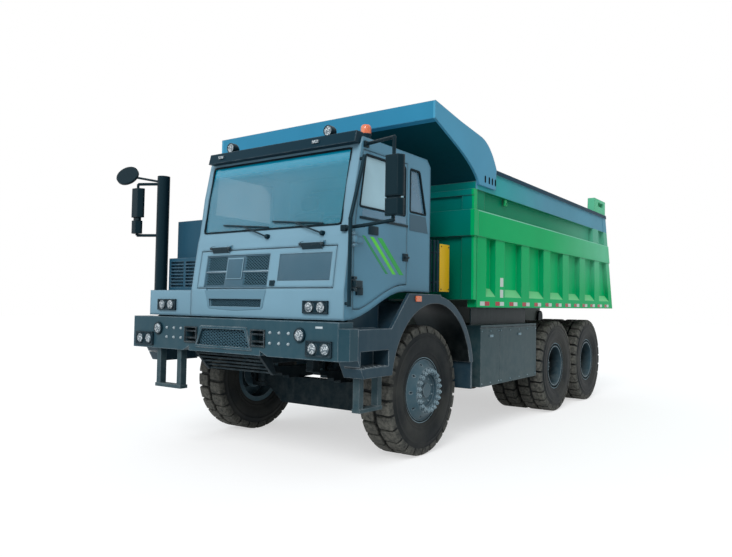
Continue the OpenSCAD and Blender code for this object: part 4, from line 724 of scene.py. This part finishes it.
def tinted_pane(name, tint, alpha, band=None):
    """Pane with a film of dust, and if a band is given, a deeper tint along its top and painted shade that darkens it
    towards its left edge.
    """
    material, tree = empty_material(name)
    place = place_on(tree)
    film = ramp(tree, noise(tree, place, 2.0, 4.0), 0.3, 0.8, alpha - 0.05, alpha + 0.08)
    colour = blend(tree, noise(tree, place, 1.2, 3.0), tint, tuple(0.9 * c for c in tint[:3]) + (1.0,))
    if band:
        foot, top, deep, edge_shade = band
        _, across, rise = split(tree, place)
        # Painted shade, darker towards the pane's left edge.
        colour = blend(tree, ramp(tree, across, 0.3, 1.2), colour, edge_shade)
        in_band = ramp(tree, rise, foot, top)
        colour = blend(tree, in_band, colour, deep)
        film = maths(tree, "MAXIMUM", film, times(tree, in_band, 0.88))
    surface(tree, {"Base Color": colour, "Roughness": 0.05, "IOR": 1.5, "Alpha": film, "Specular IOR Level": 0.6})
    return material


screen_pane = tinted_pane("screen_pane", srgb(84, 156, 182), 0.4, (3.06, 3.26, srgb(0, 146, 178), srgb(36, 140, 166)))
finish_nodes(screen_pane, "tinted_glass", "windscreen")
finish_nodes(tinted_pane("side_pane", srgb(180, 222, 236), 0.74), "tinted_glass", "door_glass")
dusk_pane = tinted_pane("dusk_pane", srgb(104, 150, 176), 0.62)
finish_nodes(dusk_pane, "tinted_glass", "cab_windows")


def shrunk(outline, inset):
    """Convex outline with each edge moved inward."""
    lines = []
    for (ay, az), (by, bz) in zip(outline, outline[1:] + outline[:1]):
        along = Vector((by - ay, bz - az)).normalized()
        inward = Vector((-along.y, along.x)) * inset
        lines.append((Vector((ay, az)) + inward, along))
    corners = []
    for (p, d), (q, e) in zip(lines[-1:] + lines[:-1], lines):
        t = ((q.x - p.x) * e.y - (q.y - p.y) * e.x) / (d.x * e.y - d.y * e.x)
        corners.append(tuple(p + d * t))
    return corners


def rounded(outline, radius, steps=5):
    """Outline with each corner drawn as a short curve."""
    points = []
    count = len(outline)
    for i, corner in enumerate(outline):
        at = Vector(corner)
        start = at + (Vector(outline[i - 1]) - at).normalized() * radius
        end = at + (Vector(outline[(i + 1) % count]) - at).normalized() * radius
        for k in range(steps + 1):
            t = k / steps
            points.append(tuple((1 - t) ** 2 * start + 2 * t * (1 - t) * at + t * t * end))
    return points


def add_gasket(bm, outline, outside, inside, radius, spot, back, front):
    """Rubber strip round an outline: spot turns (along, up, depth) into a place."""
    outer = rounded(shrunk(outline, -outside), radius + outside)
    inner = rounded(shrunk(outline, inside), max(radius - inside, 0.01))
    join_rings(bm, [[bm.verts.new(spot(a, b, depth)) for a, b in ring]
                    for ring, depth in ((outer, back), (outer, front), (inner, front), (inner, back))])


rubber_black = painted_steel("gasket_rubber", srgb(8, 20, 27), dust=0.12, wear_and_highlight=0.0, gloss=0.55, shine=0.12)
SCREEN = [(-0.670, 2.519), (1.393, 2.519), (1.413, 3.320), (-0.665, 3.320)]
gasket = bmesh.new()
add_gasket(gasket, SCREEN, 0.004, 0.016, 0.05, lambda y, z, out: (cab_face(z) + out, y, z), -0.014, 0.004)
piece("screen_gasket", gasket, rubber_black)

QUARTER = [(2.640, 2.767), (2.985, 2.767), (2.985, 3.255), (2.783, 3.255)]
(pane_x0, _, pane_z0), (pane_x1, _, pane_z1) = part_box("door_glass")
DOOR_WINDOW = [(pane_x0, pane_z0), (pane_x1, pane_z0), (pane_x1 - 0.093, pane_z1), (pane_x0, pane_z1)]
# A strip of pale glass under the door window is a painted reflection of the sky on the door's panel.
sky_reflection_strip = bmesh.new()
add_plate(sky_reflection_strip, [(x, CAB_SIDE, z) for x, z in ((3.065, 2.616), (3.880, 2.616), (3.868, 2.692), (3.065, 2.692))],
          (0, 1, 0), 0.003)
piece("door_sky_reflection", sky_reflection_strip, dusk_pane, "door")
for name, outline, body in (("door_gasket", DOOR_WINDOW, "door"), ("quarter_gasket", QUARTER, "chassis")):
    gasket = bmesh.new()
    add_gasket(gasket, outline, 0.008, 0.014, 0.03, lambda x, z, out: (x, CAB_SIDE + out, z), -0.014, 0.003)
    piece(name, gasket, rubber_black, body)


def add_tube(bm, points, radius, steps=10):
    """Round bar through a row of points, closed at its ends."""
    points = [Vector(p) for p in points]
    rings = []
    for i, at in enumerate(points):
        run = points[min(i + 1, len(points) - 1)] - points[max(i - 1, 0)]
        across = run.to_track_quat("Z", "Y").to_matrix()
        rings.append([bm.verts.new(at + across @ p) for p in circle(radius, steps)])
    join_rings(bm, rings)
    bm.faces.new(list(reversed(rings[0])))
    bm.faces.new(rings[-1])


def on_screen(y, z, out):
    """Place in front of the cab's face."""
    return Vector((cab_face(z) + out, y, z))


WIPER_FOOT = 2.440
wipers = bmesh.new()
for pivot in (0.398, 1.172):
    add_turned(wipers, [(0.026, -0.01), (0.026, 0.03), (0.018, 0.045), (0.0, 0.047)], 16,
               ahead(*on_screen(pivot, WIPER_FOOT, 0.0)))
    heel, tip = on_screen(pivot, WIPER_FOOT, 0.035), on_screen(pivot - 0.40, 2.575, 0.020)
    add_tube(wipers, [heel, heel.lerp(tip, 0.5) + Vector((0.012, 0, 0)), tip], 0.009)
    low, high = on_screen(pivot - 0.02, 2.545, 0.004), on_screen(pivot - 0.74, 2.605, 0.004)
    add_tube(wipers, [low.lerp(high, t) for t in (0.0, 0.25, 0.5, 0.75, 1.0)], 0.010, steps=6)
piece("wipers", wipers, trim_black)

# Inside the cab: a moulded dashboard with the steering wheel, and two sprung seats. The seats have foam
# cushions in woven cloth over a steel base, with a headrest on each back.
trim_plastic = painted_steel("trim_plastic", srgb(44, 62, 72), dust=0.3, wear_and_highlight=0.0, gloss=0.55, bump=0.2)
finish_nodes(trim_plastic, "cab_trim", "dashboard")
seat_cloth, tree = empty_material("seat_cloth")
place = place_on(tree)
weave = wire(tree, "TexWave", {"Vector": place, "Scale": 120.0, "Distortion": 0.5}).outputs["Fac"]
surface(tree, {
    "Base Color": blend(tree, noise(tree, place, 14.0, 5.0), srgb(40, 52, 60), srgb(64, 78, 86)),
    "Roughness": ramp(tree, weave, 0, 1, 0.8, 0.95), "Sheen Weight": 0.2,
    "Normal": wire(tree, "Bump", {"Strength": 0.3, "Distance": 0.002, "Height": weave}).outputs[0]})
finish_nodes(seat_cloth, "cab_trim", "seats")


def add_cushion(bm, low, high, crown, lean=0.0):
    """Crowned pad between two corners, its sides drawn in, leaning back along x as it rises."""
    low, high = Vector(low), Vector(high)
    made = bmesh.ops.create_cube(bm, size=2.0)["verts"]
    edges = list({edge_shade for vert in made for edge_shade in vert.link_edges})
    bmesh.ops.subdivide_edges(bm, edges=edges, cuts=7, use_grid_fill=True)
    bm.verts.ensure_lookup_table()
    for vert in bm.verts:
        if not vert.tag:
            vert.tag = True
            at = vert.co.copy()
            shape = [c * (1 - crown * sum(o ** 4 for j, o in enumerate(at) if j != i) / 2) for i, c in enumerate(at)]
            vert.co = [a + (c + 1) / 2 * (b - a) for a, b, c in zip(low, high, shape)]
            vert.co.x += lean * (vert.co.z - low.z)


pads = bmesh.new()
bases = bmesh.new()
for seat_y in (0.950, -0.150):
    add_cushion(pads, (2.905, seat_y - 0.258, 2.205), (3.445, seat_y + 0.258, 2.338), 0.16)
    add_cushion(pads, (2.800, seat_y - 0.248, 2.300), (2.915, seat_y + 0.248, 2.898), 0.16, lean=-0.11)
    add_cushion(pads, (2.732, seat_y - 0.138, 2.925), (2.816, seat_y + 0.138, 3.098), 0.2)
    add_block(bases, (2.955, seat_y - 0.118, 1.960), (3.445, seat_y + 0.118, 2.200), bevel=0.02)
    for post_y in (-0.05, 0.05):
        add_tube(bases, [(2.775, seat_y + post_y, 2.85), (2.775, seat_y + post_y, 2.95)], 0.008)
seat_pads = piece("seat_pads", pads, seat_cloth, crease=60.0)
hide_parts("seats")
piece("seat_bases", bases, trim_plastic)

# Lamps: round lenses behind clear covers, in black plastic frames. The beacon is an amber dome, and the
# work lamps stand in black pots on the visor.
lens_glass, tree = empty_material("lamp_lens")
place = place_on(tree)
facets = wire(tree, "TexVoronoi", {"Vector": place, "Scale": 60.0}).outputs["Distance"]
# Each facet is painted bright in its middle and dark at its rim, painted glints; the lamps at the rear are red.
lens_colour_and_glints = blend(tree, ramp(tree, facets, 0.1, 0.6), srgb(206, 216, 220), srgb(70, 88, 98))
lens_colour_and_glints = blend(tree, under(tree, split(tree, place)[0], 0.0), lens_colour_and_glints, srgb(170, 22, 26))
surface(tree, {
    "Base Color": lens_colour_and_glints, "Roughness": 0.12, "Metallic": 0.35, "Coat Weight": 0.7,
    "Normal": wire(tree, "Bump", {"Strength": 0.5, "Distance": 0.004, "Height": facets}).outputs[0]})
finish_nodes(lens_glass, "lamp_lens", "lamps")
LENS_R, BUMPER_LENS_R = 0.050, 0.055
HEAD_Y0, HEAD_Y1, HEAD_Z0, HEAD_Z1 = 1.010, 1.328, 1.631, 1.749
HEAD_Z = (HEAD_Z0 + HEAD_Z1) / 2
HEAD_LENSES = [(HEAD_Y0 + share * (HEAD_Y1 - HEAD_Y0), HEAD_Z) for share in (0.26, 0.74)]
PAIR_LENSES = [(1.277, 1.290), (1.438, 1.290)]
SINGLE_LENS = (1.108, 1.414)
bezels = bmesh.new()


def add_bezel(bm, side, x, y0, y1, z0, z1, holes, hole_r):
    """Frame plate round round lenses on one side of the truck, with a raised ring at each."""
    y0, y1 = sorted((side * y0, side * y1))
    for low_y, high_y, low_z, high_z in ((y0, y1, z1 - 0.012, z1), (y0, y1, z0, z0 + 0.012), (y0, y0 + 0.012, z0, z1),
                                         (y1 - 0.012, y1, z0, z1)):
        add_block(bm, (x, low_y, low_z), (x + 0.026, high_y, high_z))
    corners = [(y0 + 0.004, z0 + 0.004), (y1 - 0.004, z0 + 0.004), (y1 - 0.004, z1 - 0.004), (y0 + 0.004, z1 - 0.004)]
    add_plate(bm, [(x, y, z) for y, z in corners], (1, 0, 0), 0.015)
    for y, z in holes:
        add_turned(bm, [(hole_r + 0.010, 0.010), (hole_r + 0.010, 0.024), (hole_r + 0.004, 0.030), (hole_r, 0.028),
                        (hole_r - 0.002, 0.012)], 32, ahead(x, side * y, z))


for side in (1, -1):
    add_bezel(bezels, side, CAB_NOSE, HEAD_Y0 - 0.006, HEAD_Y1 + 0.006, HEAD_Z0 - 0.006, HEAD_Z1 + 0.006,
              HEAD_LENSES, LENS_R)
    add_turned(bezels, [(0.074, 0.0), (0.074, 0.014), (0.067, 0.025), (0.058, 0.024), (0.056, 0.010)], 32,
               ahead(NOSE - 0.001, side * SINGLE_LENS[0], SINGLE_LENS[1]))
    add_bezel(bezels, side, NOSE - 0.001, 1.195, 1.520, 1.212, 1.368, PAIR_LENSES, BUMPER_LENS_R)
piece("lamp_bezels", bezels, trim_black)
lenses = bmesh.new()
for side in (1, -1):
    for x, r, places in ((CAB_NOSE + 0.012, LENS_R, HEAD_LENSES),
                         (NOSE + 0.010, BUMPER_LENS_R, [SINGLE_LENS, *PAIR_LENSES])):
        for y, z in places:
            add_turned(lenses, [(r, 0.0), (r, 0.010), (r * 0.8, 0.017), (r * 0.45, 0.021), (0.0, 0.022)], 32,
                       ahead(x, side * y, z))
piece("lamp_lenses", lenses, lens_glass)

pots = bmesh.new()
VISOR_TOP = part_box("roof_visor")[1][2]
for y in (-0.351, 1.118):
    add_turned(pots, [(0.0, -0.050), (0.030, -0.048), (0.052, -0.020), (0.058, 0.0), (0.058, 0.064), (0.051, 0.066),
                      (0.050, 0.058)], 32, ahead(3.890, y, VISOR_TOP + 0.050))
    add_block(pots, (3.870, y - 0.02, VISOR_TOP - 0.002), (3.920, y + 0.02, VISOR_TOP + 0.012))
piece("work_lamp_pots", pots, trim_black)
BEACON = Matrix.Translation((3.600, 1.350, 3.426))
dome, beacon_base = bmesh.new(), bmesh.new()
add_turned(dome, [(0.056, 0.098), (0.0565, 0.160), (0.053, 0.185), (0.041, 0.200), (0.020, 0.206), (0.0, 0.207)], 32,
           BEACON)
piece("beacon_dome", dome, amber)
add_turned(beacon_base, [(0.072, 0.0), (0.072, 0.014), (0.0575, 0.022), (0.0575, 0.090), (0.062, 0.092),
                         (0.062, 0.104), (0.0, 0.106)], 32, BEACON)
piece("beacon_base", beacon_base, trim_black)

# Visor, mirrors and rails: the visor is a folded navy box across the roof with two small lamps. The mirror
# heads are moulded black shells with silvered glass to the rear, on bent tube arms.
finish_nodes(painted_steel("visor_paint", srgb(4, 36, 49), dust=0.03, wear_and_highlight=0.3, gloss=0.36, shine=0.1),
             "black_chassis_paint", "roof_visor")
finish_nodes(trim_black, "black_chassis_paint", "grab_rails")
mirror_shell = painted_steel("mirror_shell", srgb(8, 26, 34), dust=0.05, wear_and_highlight=0.1, gloss=0.36, shine=0.15,
                             rounding=0.03)
finish_nodes(mirror_shell, "black_chassis_paint", "mirrors")
block_piece("visor_lamps", [((3.972, y - 0.045, 3.400), (3.992, y + 0.045, 3.432)) for y in (-0.47, 0.98)],
            lens_glass, bevel=0.005)
block_piece("mirror_brackets", [((3.915, 1.880, 2.742), (3.965, 2.020, 2.778)),
                                ((4.205, -1.750, 2.712), (4.250, -1.650, 2.768))], mirror_shell, bevel=0.006)
silvered, tree = empty_material("mirror_silver")
haze = ramp(tree, noise(tree, place_on(tree), 9.0, 5.0), 0.3, 0.8, 0.03, 0.14)
surface(tree, {"Base Color": srgb(206, 216, 222), "Metallic": 1.0, "Roughness": haze})
GLASS_INSET = 0.014
mirror_glass = []
for x, y0, y1, z0, z1 in ((3.905, 1.843, 2.052, 2.770, 3.170), (3.905, 1.843, 2.052, 2.585, 2.750),
                          (4.195, -1.790, -1.610, 2.760, 3.120), (4.195, -1.780, -1.640, 2.560, 2.720)):
    mirror_glass.append(((x - 0.004, y0 + GLASS_INSET, z0 + GLASS_INSET),
                         (x + 0.002, y1 - GLASS_INSET, z1 - GLASS_INSET)))
block_piece("mirror_glass", mirror_glass, silvered, bevel=0.002)

# Radiator housing, control cabinet and intake duct: black sheet boxes beside the cab and a ribbed rubber
# duct behind it. A blank yellow plate stands on two straps beside the duct.
finish_nodes(painted_steel("radiator_paint", srgb(30, 70, 90), dust=0.2, gloss=0.42), "black_chassis_paint",
             "radiator_box", "control_cabinet")
finish_nodes(rubber_black, "hose_rubber", "air_hose")
DUCT_X, DUCT_Y, DUCT_R, DUCT_FOLDS = 2.360, 1.330, 0.070, 17
duct_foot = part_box("air_hose")[0][2] + 0.03
folds = bmesh.new()
add_turned(folds, [(DUCT_R + out, duct_foot + k * 0.033 + rise) for k in range(DUCT_FOLDS) for out, rise in (
    (0.0005, 0.0), (0.010, 0.009), (0.010, 0.017), (0.0005, 0.026))], 28, Matrix.Translation((DUCT_X, DUCT_Y, 0)))
piece("duct_folds", folds, rubber_black)
block_piece("yellow_plate", [((2.050, 1.500, 1.890), (2.278, 1.512, 2.470))],
            painted_steel("yellow_paint", srgb(214, 170, 10), dust=0.15, wear_and_highlight=0.2, gloss=0.35))
straps = bmesh.new()
for z in (2.00, 2.36):
    add_tube(straps, [(2.10, 1.495, z), (2.31, 1.490, z), (2.36, 1.45, z), (2.362, 1.385, z)], 0.012)
for x, y in ((2.312, 1.492), (2.352, 1.468), (2.395, 1.44)):
    add_tube(straps, [(x, y, 1.885), (x, y, 2.20), (x, y, 2.51)], 0.017)
for x in (2.075, 2.253):
    for z in (1.92, 2.44):
        add_turned(straps, nut_profile(0.008, 0.008), 6, outward(x, 1.5115, z, 1))
piece("plate_straps", straps, trim_black)

# Body: a welded tub of thick plate with box ribs, a proud belt and a rock canopy. It is sprayed green, with
# the band under the top rail and the canopy's cheeks and lip in slate, and the inside is scraped by rock.
BODY_GREEN, SHADED_GREEN, SHEEN_GREEN = srgb(0, 172, 100), srgb(0, 104, 80), srgb(140, 216, 190)
BAND_SLATE, BAND_FRONT, RAIL_SLATE = srgb(84, 146, 168), srgb(30, 170, 164), srgb(8, 52, 72)
LIP_SLATE, CHEEK_SLATE, SCRAPED = srgb(50, 126, 160), srgb(76, 150, 182), srgb(120, 126, 122)
BELT_EDGE, BELT_TOP, BAND_FOOT, RAIL_FOOT, RAIL_TOP = 2.922, 2.9365, 3.199, 3.4665, 3.5295


def side_colours(tree):
    """Green, slate in the band and top rail, bare scraped steel inside, with painted shade and painted highlights on
    the outside.
    """
    place = place_on(tree)
    x, y, z = split(tree, place)
    ahead_of, _, up = facing(tree)
    lit_ledge = times(tree, ramp(tree, up, 0.3, 0.6), under(tree, z, 2.3))
    # Painted shade: faces that look forward are a darker green.
    paint = blend(tree, ramp(tree, ahead_of, 0.4, 0.8, 0.0, 0.6), BODY_GREEN, srgb(0, 112, 72))
    # Painted highlight in pale green on the ledges that face up, low on the sides.
    paint = blend(tree, times(tree, lit_ledge, 0.4), paint, srgb(170, 226, 170))
    # Painted shade: the panel between the belt and the band is a darker green, as if shaded by the band.
    paint = blend(tree, times(tree, between(tree, z, BELT_TOP, BAND_FOOT), 0.8), paint, srgb(0, 124, 96))
    # A pale green painted sheen that grows towards the rear on the upper part of the sides.
    painted_sheen = times(tree, ramp(tree, x, -0.8, -3.6, 0.0, 0.45), ramp(tree, z, 2.0, 2.7))
    # A painted highlight along the top edge of the belt, in the same pale green.
    belt_edge_highlight = times(tree, between(tree, z, BELT_EDGE, BELT_TOP), 0.7)
    paint = blend(tree, maths(tree, "MAXIMUM", painted_sheen, belt_edge_highlight), paint, SHEEN_GREEN)
    band = blend(tree, ramp(tree, x, -0.6, 1.2, 0.0, 0.7), BAND_SLATE, BAND_FRONT)
    paint = blend(tree, between(tree, z, BAND_FOOT, RAIL_TOP), paint, band)
    paint = blend(tree, between(tree, z, RAIL_FOOT, RAIL_TOP), paint, RAIL_SLATE)
    scrape = noise(tree, wire(tree, "Mapping", {"Vector": place, "Scale": (0.6, 1.0, 4.0)}).outputs[0], 3.0, 6.0)
    inner = blend(tree, ramp(tree, scrape, 0.4, 0.6), SCRAPED, srgb(90, 110, 100))
    return blend(tree, over(tree, maths(tree, "ABSOLUTE", y), 1.609), inner, paint)


def front_colours(tree):
    """Dark green headboard and underside in painted shade, slate cheeks and lip, scraped steel on the load's side."""
    x, y, z = split(tree, place_on(tree))
    ahead_of, _, up = facing(tree)
    out = maths(tree, "ABSOLUTE", y)
    cheek = times(tree, over(tree, out, 1.7365), over(tree, z, 3.2))
    slated = maths(tree, "MAXIMUM", cheek, over(tree, x, 2.798))
    loaded = maths(tree, "MAXIMUM", over(tree, up, 0.3), under(tree, ahead_of, -0.5))
    # Painted shade: the headboard is dark green low down and lighter towards the canopy.
    paint = blend(tree, ramp(tree, z, 2.3, 3.2), SHADED_GREEN, srgb(0, 122, 116))
    # Painted shade on the faces that look down.
    paint = blend(tree, under(tree, up, -0.2), paint, srgb(8, 60, 70))
    paint = blend(tree, times(tree, over(tree, out, 1.70), under(tree, z, 3.2)), paint, BODY_GREEN)
    paint = blend(tree, loaded, paint, SCRAPED)
    return blend(tree, slated, paint, blend(tree, cheek, LIP_SLATE, CHEEK_SLATE))


GREEN_SHEEN = (0.12, 0.95, 0.7, 1.0)
finish_nodes(painted_steel("body_side_paint", side_colours, dust=0.03, gloss=0.42, shine=0.05, sheen=GREEN_SHEEN,
                           rounding=0.02), "green_body_paint", "bed_left", "bed_right")
finish_nodes(painted_steel("body_front_paint", front_colours, dust=0.03, gloss=0.36, shine=0.12,
                           sheen=(0.2, 0.9, 1.0, 1.0), rounding=0.02), "green_body_paint", "bed_front")
gate_paint = painted_steel("gate_paint", BODY_GREEN, dust=0.1, wear_and_highlight=0.25, gloss=0.32, sheen=GREEN_SHEEN)
finish_nodes(gate_paint, "green_body_paint", "tailgate")
finish_nodes(painted_steel("load_floor", srgb(96, 104, 98), dust=0.5, gloss=0.5, bump=0.3), "green_body_paint",
             "bed_floor")

RIB_FACE, CHEEK_FACE, FILM = 1.743, 1.767, 0.0015


def add_film(bm, side, x0, x1, z0, z1):
    """Thin film on the outer face of the ribs."""
    y = side * RIB_FACE
    add_plate(bm, [(x0, y, z0), (x1, y, z0), (x1, y, z1), (x0, y, z1)], (0, side, 0), FILM)


REFLECTOR_LOW, REFLECTOR_HIGH, REFLECTOR_LONG = 1.728, 1.782, 0.13
reds, whites = bmesh.new(), bmesh.new()
for side in (1, -1):
    for k in range(13):
        x = 1.66 - k * 0.452
        for film, x0 in zip((reds, whites) if k else (whites, reds), (x - 0.13, x - 0.27)):
            add_film(film, side, x0, x0 + REFLECTOR_LONG, REFLECTOR_LOW, REFLECTOR_HIGH)
    for z0, z1 in ((1.985, 2.105), (1.838, 1.945)):
        add_film(whites, side, 0.965, 1.065, z0, z1)
red_film = painted_steel("red_film", srgb(168, 26, 40), dust=0.2, wear_and_highlight=0.1, gloss=0.2)
piece("red_reflectors", reds, red_film, "bed")
white_film = painted_steel("white_film", srgb(190, 206, 196), dust=0.3, wear_and_highlight=0.1, gloss=0.2)
piece("white_reflectors", whites, white_film, "bed")
eyes, slot_shades = bmesh.new(), bmesh.new()
SLOT_ENDS, SLOT_HALF = ((3.377, 0.0), (3.322, math.pi)), 0.019
for side in (1, -1):
    low_y, high_y = sorted((side * 1.690, side * 1.715))
    add_block(eyes, (0.795, low_y, 3.105), (0.870, high_y, 3.200), bevel=0.008)
    add_turned(eyes, [(0.016, 0.0), (0.030, 0.0), (0.030, 0.008), (0.016, 0.008)], 20,
               outward(0.8325, side * 1.714, 3.135, side))
    # Black films of painted shade stand for the slots through the canopy's cheeks.
    for x in (1.289, 1.380, 1.470, 1.587):
        rim = [(x + SLOT_HALF * math.cos(start + k * math.pi / 8), side * CHEEK_FACE,
                z + SLOT_HALF * math.sin(start + k * math.pi / 8)) for z, start in SLOT_ENDS for k in range(9)]
        add_plate(slot_shades, rim, (0, side, 0), FILM)
piece("lift_eyes", eyes, gate_paint, "bed")
piece("cheek_slot_shades", slot_shades, shade_black, "bed")

# Hoist: a telescopic cylinder of drawn steel tube at the headboard, its painted barrel hung on the frame's
# foot pin. Three ground and chromed stages slide out of it, and the last carries the eye on the body.
finish_nodes(chassis_paint, "hoist_barrel_paint", "hoist_barrel")
chrome = painted_steel("ground_chrome", srgb(176, 182, 186), dust=0.1, wear_and_highlight=0.0, gloss=0.18, metal=0.9)
finish_nodes(chrome, "ground_chrome", "hoist_stage_1", "hoist_stage_2", "hoist_stage_3")
